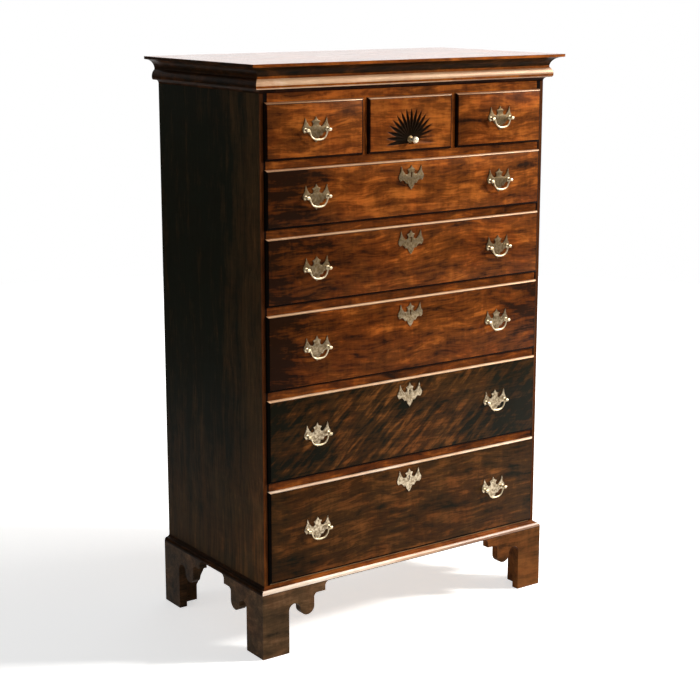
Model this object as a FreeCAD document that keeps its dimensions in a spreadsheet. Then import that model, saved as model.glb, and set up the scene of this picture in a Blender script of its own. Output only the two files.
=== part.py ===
import FreeCAD, Part
import math
import os

import Sketcher
from FreeCAD import Placement, Rotation, Vector

# A tall chest of drawers: three small drawers over five long ones, on bracket feet, under a moulded
# cornice.  Millimetres, +Z up, the front faces -Y, +X is to the right of someone facing the front.
# The origin is on the floor, midway across the width and midway through the overall depth.

# ---------------------------------------------------------------------------------------------
# Driving dimensions
# ---------------------------------------------------------------------------------------------

DIMENSIONS = (
    # the case
    ("case_width", 885.0, "outside the two sides"),
    ("case_depth", 485.0, "front edge of the sides to the back"),
    ("side_thick", 22.0, "case side"),
    ("top_thick", 20.0, "top board"),
    ("back_thick", 12.0, "back boards"),
    ("back_rabbet", 11.0, "width of the rabbet in the sides for the back boards"),
    ("dado_deep", 6.0, "how far rails, runners and the bottom enter the sides"),
    ("rail_deep", 75.0, "front to back size of a drawer rail"),
    ("runner_wide", 20.0, "drawer runner, clear of the side"),
    ("housing_deep", 5.0, "how far a divider enters the rails above and below"),
    ("divider_thick", 22.0, "upright between two small drawers"),
    ("guide_high", 25.0, "drawer guide standing on the runner behind a divider"),
    ("shared_runner_wide", 52.0, "runner that carries two small drawers"),
    ("top_rail_thick", 22.0, "rail under the top board"),
    # heights, from the floor up
    ("foot_high", 168.0, "floor to the underside of the case"),
    ("bottom_reveal", 22.0, "underside of the case to the lowest drawer front"),
    ("front_six", 240.0, "height of the lowest drawer front"),
    ("front_five", 210.5, "height of the next drawer front up"),
    ("front_four", 190.5, "height of the next drawer front up"),
    ("front_three", 167.5, "height of the next drawer front up"),
    ("front_two", 144.5, "height of the next drawer front up"),
    ("front_one", 139.0, "height of the small drawer fronts"),
    ("front_gap", 20.0, "between two drawer fronts, one above the other"),
    ("top_reveal", 21.0, "small drawer fronts to the cornice"),
    ("cornice_high", 70.0, "cornice, up to the top of the chest"),
    # cornice profile, from the bottom up
    ("cornice_reach", 40.0, "how far the cornice stands out"),
    ("cornice_fillet", 7.0, "square edge at the top"),
    ("cornice_lip", 3.0, "step under the square edge"),
    ("cornice_hollow", 22.0, "height of the large hollow"),
    ("cornice_bead_high", 23.0, "height of the bold round"),
    ("cornice_bead_reach", 18.5, "how far the bold round stands out"),
    ("cornice_bead_back", 11.0, "where the bold round and the large hollow meet"),
    ("cornice_bead_fillet", 4.0, "square between the bold round and the large hollow"),
    ("cornice_bead_chin", 3.0, "height of the sloping edge under the bold round"),
    ("cornice_bead_step", 2.0, "how far the foot of that edge falls back"),
    ("cornice_step_rise", 1.0, "rise of the step under the square edge"),
    ("cornice_cove", 10.0, "radius of the small hollow at the bottom"),
    # base moulding profile
    ("base_torus", 11.0, "height of the lower round"),
    ("base_torus_back", 5.5, "how far the lower round falls back"),
    ("base_fillet", 1.5, "step over the lower round"),
    ("base_cove", 7.8, "radius of the hollow over the step"),
    # bracket feet
    ("bracket_thick", 22.0, "foot bracket"),
    ("leg_wide", 78.0, "straight part of a bracket"),
    ("arch_radius", 17.0, "small arch beside the leg"),
    ("drop_radius", 21.0, "round drop beside the arch"),
    ("arch_spring", 112.0, "height where arch and drop begin"),
    ("drop_riser", 22.0, "upright edge above the drop"),
    ("bracket_cove", 10.0, "hollow above the riser"),
    ("bracket_ledge", 24.0, "level part of the scroll"),
    ("bracket_end_cove", 12.0, "hollow at the bracket's end"),
    ("glue_block", 40.0, "corner block inside a foot, each way"),
    ("block_short", 6.0, "how far the corner block stops above the floor"),
    ("rear_bracket_foot", 46.0, "rear bracket at the floor"),
    ("rear_bracket_top", 128.0, "rear bracket at the case"),
    ("rear_bracket_edge", 20.0, "square end of the rear bracket"),
    ("base_rail_deep", 40.0, "strip under the front of the case"),
    ("base_rail_high", 10.0, "strip under the front of the case"),
    # drawers
    ("front_proud", 8.0, "how far a drawer front stands out from the case"),
    ("front_body", 14.0, "part of a drawer front inside the opening"),
    ("side_lap", 10.0, "lip over the case sides"),
    ("rail_lap", 4.0, "lip over rails and dividers"),
    ("lip_stand", 0.3, "space behind the lip"),
    ("drawer_rest", 0.3, "space under a drawer"),
    ("drawer_play", 1.5, "space beside and above a drawer"),
    ("thumb_round", 6.0, "radius of the thumbnail moulding"),
    ("thumb_step", 1.2, "step between the moulding and the field"),
    ("small_front_gap", 14.0, "between two small drawer fronts"),
    ("middle_front", 263.0, "width of the middle small drawer front"),
    ("drawer_back_gap", 21.0, "space behind a drawer"),
    ("drawer_side", 11.0, "thickness of drawer sides and backs"),
    ("drawer_bottom", 7.0, "thickness of a drawer bottom"),
    ("bottom_up", 6.0, "how far the drawer bottom sits above the lower edge"),
    ("groove_deep", 5.0, "groove for the drawer bottom"),
    ("tail_pitch", 70.0, "about the distance between dovetails"),
    ("tail_wide", 30.0, "dovetail at its tip"),
    ("tail_slope", 3.0, "how much narrower a dovetail is on each side at its root"),
    # carved fan
    ("fan_radius", 80.0, "centre to the tips of the rays"),
    ("fan_up", 30.0, "fan's centre above the lower edge of the drawer front"),
    ("fan_rays", 17.0, "number of hollow rays, an odd number"),
    ("fan_below", 8.0, "degrees that the lowest rays turn below the level"),
    ("eye_radius", 12.0, "flat hollow at the fan's centre"),
    ("eye_deep", 5.0, "flat hollow at the fan's centre"),
    ("ray_turn", 58.0, "centre to where a ray begins to run out"),
    ("ray_start_deep", 5.5, "depth of a ray at the eye"),
    ("ray_turn_deep", 3.0, "depth of a ray where it begins to run out"),
    ("ray_tip_deep", 0.3, "depth of a ray at its tip"),
    ("ray_half", 9.0, "half the width of a ray's V as deep as at the eye"),
    # pulls, keyhole plates, locks and the knob
    ("plate_thick", 2.0, "brass plate"),
    ("post_spacing", 63.5, "between the two posts of a pull"),
    ("post_shank", 5.0, "square shank of a post"),
    ("post_head", 4.4, "radius of the post's head"),
    ("post_reach", 11.0, "plate to the middle of the post's head"),
    ("nut_size", 12.0, "square nut"),
    ("nut_thick", 4.0, "square nut"),
    ("shank_past", 2.0, "how far a shank stands out past its nut"),
    ("bail_rod", 2.3, "radius of the bail"),
    ("bail_play", 0.25, "space round the bail in its posts"),
    ("bail_past", 1.5, "how far the ends of the bail stand out past the posts"),
    ("bail_bend", 3.5, "upper bend of the bail"),
    ("bail_corner", 9.0, "lower bend of the bail"),
    ("bail_drop", 23.0, "post to the middle of the bail's bar"),
    ("keyhole_drop", 34.0, "keyhole below the top of a drawer front"),
    ("keyhole_up", 11.0, "keyhole above the middle of its plate"),
    ("keyhole_round", 2.6, "radius of the keyhole's eye"),
    ("keyhole_slot", 2.8, "width of the keyhole's slot"),
    ("keyhole_long", 11.0, "length of the keyhole's slot"),
    ("lock_wide", 60.0, "lock let into the back of a drawer front"),
    ("lock_high", 42.0, "lock let into the back of a drawer front"),
    ("lock_thick", 9.0, "lock let into the back of a drawer front"),
    ("knob_radius", 8.5, "ball of the fan's knob"),
    ("knob_reach", 22.0, "drawer front to the middle of the ball"),
    ("knob_stem", 3.2, "radius of the knob's stem"),
    ("rose_radius", 9.0, "round plate under the knob"),
    ("rose_thick", 2.5, "round plate under the knob"),
)

# The scalloped outline of a pull plate, right half, from the tip at the top to the drop at the bottom.
PLATE_OUTLINE = (
    (0.0, 33.0),
    (6.0, 25.5),
    (13.0, 21.5),
    (9.0, 12.5),
    (16.0, 7.0),
    (24.0, 13.0),
    (33.0, 32.0),
    (36.0, 14.0),
    (42.5, 1.5),
    (36.0, -8.5),
    (25.0, -6.0),
    (15.0, -14.5),
    (8.5, -22.0),
    (0.0, -31.0),
)

doc = FreeCAD.newDocument("TallChest")
sheet = doc.addObject("Spreadsheet::Sheet", "Sizes")


class Size:
    """A length that knows both its value and the spreadsheet expression that gives it."""

    def __init__(self, value, text):
        self.value = value
        self.text = text

    @classmethod
    def of(cls, number):
        return number if isinstance(number, cls) else cls(float(number), repr(float(number)))

    def __add__(self, other):
        other = Size.of(other)
        return Size(self.value + other.value, f"({self.text} + {other.text})")

    def __sub__(self, other):
        other = Size.of(other)
        return Size(self.value - other.value, f"({self.text} - {other.text})")

    def __mul__(self, other):
        other = Size.of(other)
        return Size(self.value * other.value, f"({self.text} * {other.text})")

    def __truediv__(self, other):
        other = Size.of(other)
        return Size(self.value / other.value, f"({self.text} / {other.text})")

    def __neg__(self):
        return Size(0.0, "0.0") - self

    __radd__ = __add__
    __rmul__ = __mul__


class Sheet:
    """The driving dimensions as attributes, one for each alias of the spreadsheet."""

    def __init__(self):
        for row, (alias, value, note) in enumerate(DIMENSIONS, start=1):
            sheet.set(f"A{row}", note)
            sheet.set(f"B{row}", str(value))
            sheet.setAlias(f"B{row}", alias)
            setattr(self, alias, Size(value, f"Sizes.{alias}"))
        doc.recompute()


S = Sheet()
ZERO = Size.of(0.0)


# ---------------------------------------------------------------------------------------------
# Helpers
# ---------------------------------------------------------------------------------------------

def bind(target, prop, size):
    target.setExpression(prop, Size.of(size).text)


def place(target, x, y, z):
    for axis, size in zip("xyz", (x, y, z)):
        bind(target, f"Placement.Base.{axis}", size)


def turn(target, axis, degrees):
    target.Placement = Placement(Vector(0, 0, 0), Rotation(axis, degrees))


def block(name, size, corner):
    """A plain board: its three sizes and its lowest corner."""
    board = doc.addObject("Part::Box", name)
    for prop, length in zip(("Length", "Width", "Height"), size):
        bind(board, prop, length)
    place(board, *corner)
    return board


def cut(name, base, tools):
    result = doc.addObject("Part::Cut", name)
    result.Base = base
    result.Tool = tools[0] if len(tools) == 1 else group(f"{name}_tools", tools)
    return result


def group(name, pieces):
    result = doc.addObject("Part::Compound", name)
    result.Links = pieces
    return result


def placed(name, source, x, y, z):
    """A copy of a finished piece, moved to its place."""
    result = group(name, [source])
    place(result, x, y, z)
    return result


def mirror(name, source, normal):
    result = doc.addObject("Part::Mirroring", name)
    result.Source = source
    result.Base = Vector(0, 0, 0)
    result.Normal = normal
    return result


def new_body(name):
    return doc.addObject("PartDesign::Body", name)


def add_feature(body, kind, name):
    return body.newObject(f"PartDesign::{kind}", name)


def body_box(body, kind, name, size, corner):
    """Adds or takes away a box; kind is AdditiveBox or SubtractiveBox."""
    box = add_feature(body, kind, name)
    for prop, length in zip(("Length", "Width", "Height"), size):
        bind(box, prop, length)
    place(box, *corner)
    return box


def origin_part(body, role):
    return next(part for part in body.Origin.OriginFeatures if part.Role == role)


LEFT = 1
RIGHT = -1


class Outline:
    """A run of straight edges and arcs, each corner a pair of Sizes."""

    def __init__(self, x, y):
        self.corners = [(Size.of(x), Size.of(y))]
        self.arcs = []

    def line(self, x, y):
        self.corners.append((Size.of(x), Size.of(y)))
        self.arcs.append(None)
        return self

    def arc(self, x, y, radius, side):
        """An arc of less than a half turn, its centre LEFT or RIGHT of the way from corner to corner."""
        self.corners.append((Size.of(x), Size.of(y)))
        self.arcs.append((Size.of(radius), side))
        return self


def arc_geometry(start, end, radius, side):
    """The arc as FreeCAD holds it, anticlockwise, and whether it runs from start to end."""
    chord = end - start
    normal = Vector(-chord.y, chord.x, 0).normalize()
    reach = math.sqrt(max(radius**2 - (chord.Length / 2) ** 2, 0.0))
    centre = (start + end) * 0.5 + normal * (side * reach)
    circle = Part.Circle(centre, Vector(0, 0, 1), radius)
    first, last = (start, end) if side == LEFT else (end, start)
    angles = [math.atan2(point.y - centre.y, point.x - centre.x) for point in (first, last)]
    return Part.ArcOfCircle(circle, angles[0], angles[1]), side == LEFT


def add_edges(sketch, outline, closed):
    """Draws the outline into the sketch and ties every corner and radius to the spreadsheet."""
    corners = [Vector(x.value, y.value, 0) for x, y in outline.corners]
    count = len(outline.arcs)
    ends = []
    base = sketch.GeometryCount
    for index, arc in enumerate(outline.arcs):
        start, end = corners[index], corners[index + 1]
        if arc is None:
            sketch.addGeometry(Part.LineSegment(start, end))
            ends.append((1, 2))
            continue
        radius, side = arc
        geometry, forward = arc_geometry(start, end, radius.value, side)
        sketch.addGeometry(geometry)
        ends.append((1, 2) if forward else (2, 1))
        number = sketch.addConstraint(Sketcher.Constraint("Radius", base + index, radius.value))
        bind(sketch, f"Constraints[{number}]", radius)
    for index in range(count if closed else count - 1):
        following = (index + 1) % count
        joint = (base + index, ends[index][1], base + following, ends[following][0])
        sketch.addConstraint(Sketcher.Constraint("Coincident", *joint))
    for index, (x, y) in enumerate(outline.corners):
        if index == count and closed:
            break
        edge, end = (base + index, ends[index][0]) if index < count else (base + count - 1, ends[-1][1])
        for kind, size in (("DistanceX", x), ("DistanceY", y)):
            number = sketch.addConstraint(Sketcher.Constraint(kind, -1, 1, edge, end, size.value))
            bind(sketch, f"Constraints[{number}]", size)


def draw(body, name, role, outline, offset=ZERO, closed=True):
    """A sketch of the outline on one of the body's own origin planes."""
    sketch = body.newObject("Sketcher::SketchObject", name)
    sketch.AttachmentSupport = [(origin_part(body, role), "")]
    sketch.MapMode = "FlatFace"
    bind(sketch, "AttachmentOffset.Base.z", offset)
    add_edges(sketch, outline, closed)
    return sketch


def closed_outline(points):
    """An outline of straight edges through the points and back to the first."""
    outline = Outline(*points[0])
    for point in points[1:]:
        outline.line(*point)
    return outline.line(*points[0])


def polygon(sides, radius, centre=ZERO):
    """Equal sides about a point of the sketch's X axis, the last of them upright on its right."""
    half_side = math.pi / sides
    angles = [half_side * (1 + 2 * step) for step in range(sides)]
    return closed_outline([(centre + radius * math.cos(a), radius * math.sin(a)) for a in angles])


def octagon(radius, centre=ZERO):
    return polygon(8, radius, centre)


FLAT_SHARE = math.cos(math.pi / 8)
ROUND_SIDES = 12


def pad(body, name, sketch, length, reverse=False):
    feature = add_feature(body, "Pad", name)
    feature.Profile = sketch
    feature.Reversed = reverse
    bind(feature, "Length", length)
    return feature


def pocket(body, name, sketch, depth):
    feature = add_feature(body, "Pocket", name)
    feature.Profile = sketch
    bind(feature, "Length", depth)
    return feature


def pocket_through(body, name, sketch):
    feature = add_feature(body, "Pocket", name)
    feature.Profile = sketch
    feature.Type = "ThroughAll"
    feature.Midplane = True
    return feature


def count_of(text):
    """A whole number worked out by the spreadsheet, for a pattern's copies."""
    return Size(0.0, text)


# ---------------------------------------------------------------------------------------------
# Places worked out from the driving dimensions
# ---------------------------------------------------------------------------------------------

HALF_CASE = S.case_width / 2
BASE_REACH = S.base_torus_back + S.base_fillet + S.base_cove
CASE_BACK = (S.case_depth + S.cornice_reach) / 2
CASE_FRONT = CASE_BACK - S.case_depth
RAIL_HIGH = S.front_gap + S.rail_lap * 2
INNER_HALF = HALF_CASE - S.side_thick
INNER_BACK = CASE_BACK - S.back_thick
DRAWER_LENGTH = S.case_depth - S.back_thick - S.drawer_back_gap
FRONT_HEIGHTS = (S.front_one, S.front_two, S.front_three, S.front_four, S.front_five, S.front_six)


class Row:
    """A row of drawers: the lower edge of its fronts, and the opening behind them."""

    def __init__(self, number, low, high):
        self.number = number
        self.front_low = low
        self.front_high = high
        self.opening_low = low + S.rail_lap
        self.opening_high = high - S.rail_lap * 2
        self.opening_top = low + high - S.rail_lap


def stack_rows():
    """The rows from the top down, each standing one gap above the next."""
    low = S.foot_high + S.bottom_reveal
    rows = []
    for number in range(len(FRONT_HEIGHTS), 0, -1):
        high = FRONT_HEIGHTS[number - 1]
        rows.insert(0, Row(number, low, high))
        low = low + high + S.front_gap
    return rows


ROWS = stack_rows()
CORNICE_LOW = ROWS[0].front_low + S.front_one + S.top_reveal
TOP = CORNICE_LOW + S.cornice_high
TOP_UNDER = TOP - S.top_thick
DIVIDER_AT = S.middle_front / 2 + S.small_front_gap / 2
OUTER_INNER_EDGE = S.middle_front / 2 + S.small_front_gap
LONG_FRONT_HALF = INNER_HALF + S.side_lap
OUTER_CENTRE = (LONG_FRONT_HALF + OUTER_INNER_EDGE) / 2

nodes = []


def node(label, piece):
    """Names a finished piece as a sub-part of the chest."""
    piece.Label = label
    nodes.append(piece)
    return piece


# ---------------------------------------------------------------------------------------------
# The case
# ---------------------------------------------------------------------------------------------

def make_sides():
    """Case sides with dados for the rails and runners, and a rabbet for the back boards."""
    high = TOP_UNDER - S.foot_high
    board = block("side_board", (S.side_thick, S.case_depth, high), (-HALF_CASE, CASE_FRONT, S.foot_high))
    inner = -INNER_HALF - S.dado_deep
    tools = []
    for row in ROWS[:-1]:
        low = row.opening_low - RAIL_HIGH
        size = (S.dado_deep, S.case_depth, RAIL_HIGH)
        tools.append(block(f"side_dado_{row.number}", size, (inner, CASE_FRONT, low)))
    size = (S.dado_deep, S.case_depth, S.bottom_reveal + S.rail_lap)
    tools.append(block("side_bottom_dado", size, (inner, CASE_FRONT, S.foot_high)))
    size = (S.back_rabbet, S.back_thick, high)
    corner = (-INNER_HALF - S.back_rabbet, INNER_BACK, S.foot_high)
    tools.append(block("side_rabbet", size, corner))
    left = node("side_left", cut("side_left_board", board, [group("side_tools", tools)]))
    node("side_right", mirror("side_right_board", left, Vector(1, 0, 0)))


def make_top_and_bottom():
    size = (S.case_width, S.case_depth, S.top_thick)
    node("top_board", block("top_panel", size, (-HALF_CASE, CASE_FRONT, TOP_UNDER)))
    half = INNER_HALF + S.dado_deep
    size = (half * 2, S.case_depth - S.back_thick, S.bottom_reveal + S.rail_lap)
    node("bottom_board", block("bottom_panel", size, (-half, CASE_FRONT, S.foot_high)))


def make_back():
    """Level boards, one behind each row of drawers, let into the rabbets of the sides."""
    half = INNER_HALF + S.back_rabbet
    boards = []
    low = S.foot_high
    for row in reversed(ROWS):
        top = TOP_UNDER if row.number == 1 else row.opening_top + RAIL_HIGH / 2
        size = (half * 2, S.back_thick, top - low)
        boards.append(block(f"back_board_{row.number}", size, (-half, INNER_BACK, low)))
        low = top
    node("back_boards", group("back", boards))


def divider_slots(name, low, high):
    """Housings for the two dividers of the small drawers."""
    slots = []
    for side, sign in (("left", -1), ("right", 1)):
        size = (S.divider_thick, S.rail_deep, high)
        corner = (DIVIDER_AT * sign - S.divider_thick / 2, CASE_FRONT, low)
        slots.append(block(f"{name}_{side}", size, corner))
    return slots


def make_top_rail():
    low = ROWS[0].opening_top
    size = (INNER_HALF * 2, S.rail_deep, TOP_UNDER - low)
    board = block("top_rail_board", size, (-INNER_HALF, CASE_FRONT, low))
    inner = block(
        "top_rail_back",
        (INNER_HALF * 2, S.rail_deep - S.top_rail_thick, TOP_UNDER - low - S.top_rail_thick),
        (-INNER_HALF, CASE_FRONT + S.top_rail_thick, low + S.top_rail_thick),
    )
    slots = divider_slots("top_rail_slot", low, S.housing_deep)
    node("top_rail", cut("top_rail_shaped", board, [group("top_rail_tools", [inner] + slots)]))


def make_frame(row):
    """The rail over a row of drawers, with the runners behind it for the row above."""
    low = row.opening_top
    half = INNER_HALF + S.dado_deep
    rail = block(f"rail_{row.number}", (half * 2, S.rail_deep, RAIL_HIGH), (-half, CASE_FRONT, low))
    behind = CASE_FRONT + S.rail_deep
    length = INNER_BACK - behind
    runner_size = (S.runner_wide + S.dado_deep, length, RAIL_HIGH)
    pieces = [
        block(f"runner_left_{row.number}", runner_size, (-half, behind, low)),
        block(f"runner_right_{row.number}", runner_size, (half - S.runner_wide - S.dado_deep, behind, low)),
    ]
    if row.number == 2:
        slots = divider_slots("rail_slot", low + RAIL_HIGH - S.housing_deep, S.housing_deep)
        rail = cut("rail_2_housed", rail, [group("rail_slots", slots)])
        for side, sign in (("left", -1), ("right", 1)):
            pieces.append(make_shared_runner(side, DIVIDER_AT * sign, behind, length, low))
    node(f"drawer_frame_{row.number - 1}", group(f"frame_{row.number}", [rail] + pieces))


def make_shared_runner(side, centre, behind, length, low):
    """The runner between two small drawers, with the guide that keeps them apart."""
    body = new_body(f"shared_runner_{side}")
    size = (S.shared_runner_wide, length, RAIL_HIGH)
    corner = (centre - S.shared_runner_wide / 2, behind, low)
    body_box(body, "AdditiveBox", f"shared_runner_{side}_rail", size, corner)
    size = (S.divider_thick, length, S.guide_high)
    corner = (centre - S.divider_thick / 2, behind, low + RAIL_HIGH)
    body_box(body, "AdditiveBox", f"shared_runner_{side}_guide", size, corner)
    return body


def make_dividers():
    row = ROWS[0]
    size = (S.divider_thick, S.rail_deep, row.opening_high + S.housing_deep * 2)
    for side, sign in (("left", -1), ("right", 1)):
        corner = (DIVIDER_AT * sign - S.divider_thick / 2, CASE_FRONT, row.opening_low - S.housing_deep)
        node(f"divider_{side}", block(f"divider_board_{side}", size, corner))


# ---------------------------------------------------------------------------------------------
# Mouldings: each profile is drawn as (how far it stands out, height)
# ---------------------------------------------------------------------------------------------

def cornice_profile():
    bead_low = S.cornice_cove + S.cornice_bead_chin
    bead_top = bead_low + S.cornice_bead_high
    hollow_low = bead_top + S.cornice_bead_fillet
    hollow_reach = S.cornice_reach - S.cornice_lip - S.cornice_bead_back
    outline = Outline(0, 0)
    outline.arc(S.cornice_cove, S.cornice_cove, S.cornice_cove, RIGHT)
    outline.line(S.cornice_bead_reach - S.cornice_bead_step, S.cornice_cove)
    outline.line(S.cornice_bead_reach, bead_low)
    outline.arc(S.cornice_bead_back, bead_top, S.cornice_bead_high, LEFT)
    outline.line(S.cornice_bead_back, hollow_low)
    outline.arc(S.cornice_bead_back + hollow_reach, hollow_low + S.cornice_hollow, hollow_reach, RIGHT)
    outline.line(S.cornice_reach, hollow_low + S.cornice_hollow + S.cornice_step_rise)
    outline.line(S.cornice_reach, S.cornice_high)
    outline.line(0, S.cornice_high)
    return outline.line(0, 0)


def base_profile():
    top = S.base_torus + S.base_cove
    outline = Outline(0, 0)
    outline.line(BASE_REACH, 0)
    outline.arc(BASE_REACH - S.base_torus_back, S.base_torus, S.base_torus, LEFT)
    outline.line(S.base_cove, S.base_torus)
    outline.arc(0, top, S.base_cove, RIGHT)
    return outline.line(0, 0)


def make_moulding(name, profile, length, reach, far_mitre):
    """A moulding along X with its back on the XZ plane, mitred at X = 0 and, if asked, at X = length."""
    body = new_body(name)
    sketch = draw(body, f"{name}_profile", "YZ_Plane", profile, offset=-reach)
    total = length + reach * (2 if far_mitre else 1)
    pad(body, f"{name}_run", sketch, total)
    corners = ((-reach, ZERO), (ZERO, ZERO), (-reach, reach))
    near = draw(body, f"{name}_near", "XY_Plane", closed_outline(corners))
    pocket_through(body, f"{name}_near_mitre", near)
    if far_mitre:
        corners = ((length, ZERO), (length + reach, ZERO), (length + reach, reach))
        far = draw(body, f"{name}_far", "XY_Plane", closed_outline(corners))
        pocket_through(body, f"{name}_far_mitre", far)
    return body


def make_moulding_set(name, profile, reach, low):
    """A moulding round the front and both sides of the case."""
    front = make_moulding(f"{name}_front_run", profile(), S.case_width, reach, True)
    turn(front, Vector(0, 0, 1), 180)
    place(front, HALF_CASE, CASE_FRONT, low)
    node(f"{name}_front", front)
    left = make_moulding(f"{name}_left_run", profile(), S.case_depth, reach, False)
    turn(left, Vector(0, 0, 1), 90)
    place(left, -HALF_CASE, CASE_FRONT, low)
    node(f"{name}_left", left)
    node(f"{name}_right", mirror(f"{name}_right_run", left, Vector(1, 0, 0)))


# ---------------------------------------------------------------------------------------------
# Bracket feet
# ---------------------------------------------------------------------------------------------

def bracket_outline():
    """The scrolled edge of a bracket, from the outer corner at the floor."""
    arch = S.leg_wide + S.arch_radius
    drop_start = arch + S.arch_radius
    drop = drop_start + S.drop_radius
    drop_end = drop + S.drop_radius
    riser_top = S.arch_spring + S.drop_riser
    ledge = riser_top + S.bracket_cove
    ledge_end = drop_end + S.bracket_cove + S.bracket_ledge
    outline = Outline(0, 0)
    outline.line(S.leg_wide, 0)
    outline.line(S.leg_wide, S.arch_spring)
    outline.arc(arch, S.arch_spring + S.arch_radius, S.arch_radius, RIGHT)
    outline.arc(drop_start, S.arch_spring, S.arch_radius, RIGHT)
    outline.arc(drop, S.arch_spring - S.drop_radius, S.drop_radius, LEFT)
    outline.arc(drop_end, S.arch_spring, S.drop_radius, LEFT)
    outline.line(drop_end, riser_top)
    outline.arc(drop_end + S.bracket_cove, ledge, S.bracket_cove, RIGHT)
    outline.line(ledge_end, ledge)
    outline.line(ledge_end, S.foot_high - S.bracket_end_cove)
    outline.arc(ledge_end + S.bracket_end_cove, S.foot_high, S.bracket_end_cove, RIGHT)
    outline.line(0, S.foot_high)
    return outline.line(0, 0)


def make_bracket(name, mitred):
    """A bracket along X, its outer face on the XZ plane and its thickness towards +Y."""
    body = new_body(name)
    sketch = draw(body, f"{name}_scroll", "XZ_Plane", bracket_outline())
    pad(body, f"{name}_board", sketch, S.bracket_thick, reverse=True)
    if mitred:
        thick = S.bracket_thick
        corners = closed_outline(((ZERO, ZERO), (thick, thick), (ZERO, thick)))
        pocket_through(body, f"{name}_mitre", draw(body, f"{name}_corner", "XY_Plane", corners))
    return body


def make_feet():
    """Two front feet of mitred brackets, and two rear feet with a plain bracket behind."""
    thick = S.bracket_thick
    foot_half = HALF_CASE + BASE_REACH
    front_face = CASE_FRONT - BASE_REACH
    block_size = (S.glue_block, S.glue_block, S.foot_high - S.block_short - S.base_rail_high)
    front_bracket = make_bracket("front_bracket", True)
    pieces = [
        front_bracket,
        mirror("side_bracket", front_bracket, Vector(1, -1, 0)),
        block("front_block", block_size, (thick, thick, S.block_short)),
    ]
    left = group("front_foot", pieces)
    place(left, -foot_half, front_face, 0)
    node("foot_front_left", left)
    node("foot_front_right", mirror("front_foot_right", left, Vector(1, 0, 0)))

    scroll = make_bracket("rear_side_scroll", False)
    turned = group("rear_side_bracket", [scroll])
    turned.Placement = Placement(Vector(0, 0, 0), Rotation(Vector(0, 0, 1), -90))
    plain = new_body("rear_bracket")
    corners = (
        (thick, ZERO),
        (thick + S.rear_bracket_foot, ZERO),
        (thick + S.rear_bracket_top, S.foot_high - S.rear_bracket_edge),
        (thick + S.rear_bracket_top, S.foot_high),
        (thick, S.foot_high),
    )
    sketch = draw(plain, "rear_bracket_edge_line", "XZ_Plane", closed_outline(corners))
    pad(plain, "rear_bracket_board", sketch, thick)
    rear_size = (S.glue_block, S.glue_block, S.foot_high - S.block_short)
    rear_block = block("rear_block", rear_size, (thick, -thick - S.glue_block, S.block_short))
    rear_left = group("rear_foot", [turned, plain, rear_block])
    place(rear_left, -foot_half, CASE_BACK, 0)
    node("foot_back_left", rear_left)
    node("foot_back_right", mirror("rear_foot_right", rear_left, Vector(1, 0, 0)))


def make_base_rail():
    """The strip behind the base moulding that the front brackets are glued to."""
    half = HALF_CASE + BASE_REACH - S.bracket_thick
    size = (half * 2, S.base_rail_deep, S.base_rail_high)
    corner = (-half, CASE_FRONT - BASE_REACH + S.bracket_thick, S.foot_high - S.base_rail_high)
    node("base_rail", block("base_strip", size, corner))


# ---------------------------------------------------------------------------------------------
# Drawers.  Each is made about X = 0, with Y = 0 at the front of the case and Z = 0 at the bottom of
# its opening, and then placed.
# ---------------------------------------------------------------------------------------------

class Drawer:
    """One drawer: where it goes, how large it is and which brasses it carries."""

    def __init__(self, name, row, centre, left_edge, right_edge, left_lap, right_lap, pulls, fan=False):
        self.name = name
        self.row = row
        self.centre = centre
        self.left_edge = left_edge
        self.right_edge = right_edge
        self.left_lap = left_lap
        self.right_lap = right_lap
        self.pulls = pulls
        self.fan = fan

    @property
    def inner_left(self):
        return self.left_edge + self.left_lap + S.drawer_play

    @property
    def inner_right(self):
        return self.right_edge - self.right_lap - S.drawer_play

    @property
    def inner_high(self):
        return self.row.opening_high - S.drawer_rest - S.drawer_play

    @property
    def pull_height(self):
        return self.row.front_high / 2 - S.rail_lap

    @property
    def keyhole_height(self):
        return self.row.front_high - S.rail_lap - S.keyhole_drop

    @property
    def has_lock(self):
        return len(self.pulls) == 2

    def place(self, piece):
        place(piece, self.centre, CASE_FRONT, self.row.opening_low)


def all_drawers():
    half_middle = S.middle_front / 2
    outer_half = OUTER_CENTRE - OUTER_INNER_EDGE
    wide = S.side_lap
    narrow = S.rail_lap
    top = ROWS[0]
    drawers = [
        Drawer("drawer_1_left", top, -OUTER_CENTRE, -outer_half, outer_half, wide, narrow, {"left": ZERO}),
        Drawer("drawer_1_middle", top, ZERO, -half_middle, half_middle, narrow, narrow, {}, fan=True),
        Drawer("drawer_1_right", top, OUTER_CENTRE, -outer_half, outer_half, narrow, wide, {"right": ZERO}),
    ]
    pulls = {"left": -OUTER_CENTRE, "right": OUTER_CENTRE}
    half = LONG_FRONT_HALF
    for row in ROWS[1:]:
        drawers.append(Drawer(f"drawer_{row.number}", row, ZERO, -half, half, wide, wide, pulls))
    return drawers


def rectangle(left, right, low, high):
    return closed_outline(((left, low), (right, low), (right, high), (left, high)))


def front_edges(feature, y, beyond=0.0):
    """The names of the edges in the plane at y whose ends are further than this from the Y axis."""
    names = []
    for number, edge in enumerate(feature.Shape.Edges, start=1):
        ends = [vertex.Point for vertex in edge.Vertexes]
        if all(abs(end.y - y) < 1e-6 and math.hypot(end.x, end.z) > beyond for end in ends):
            names.append(f"Edge{number}")
    return names


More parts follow.
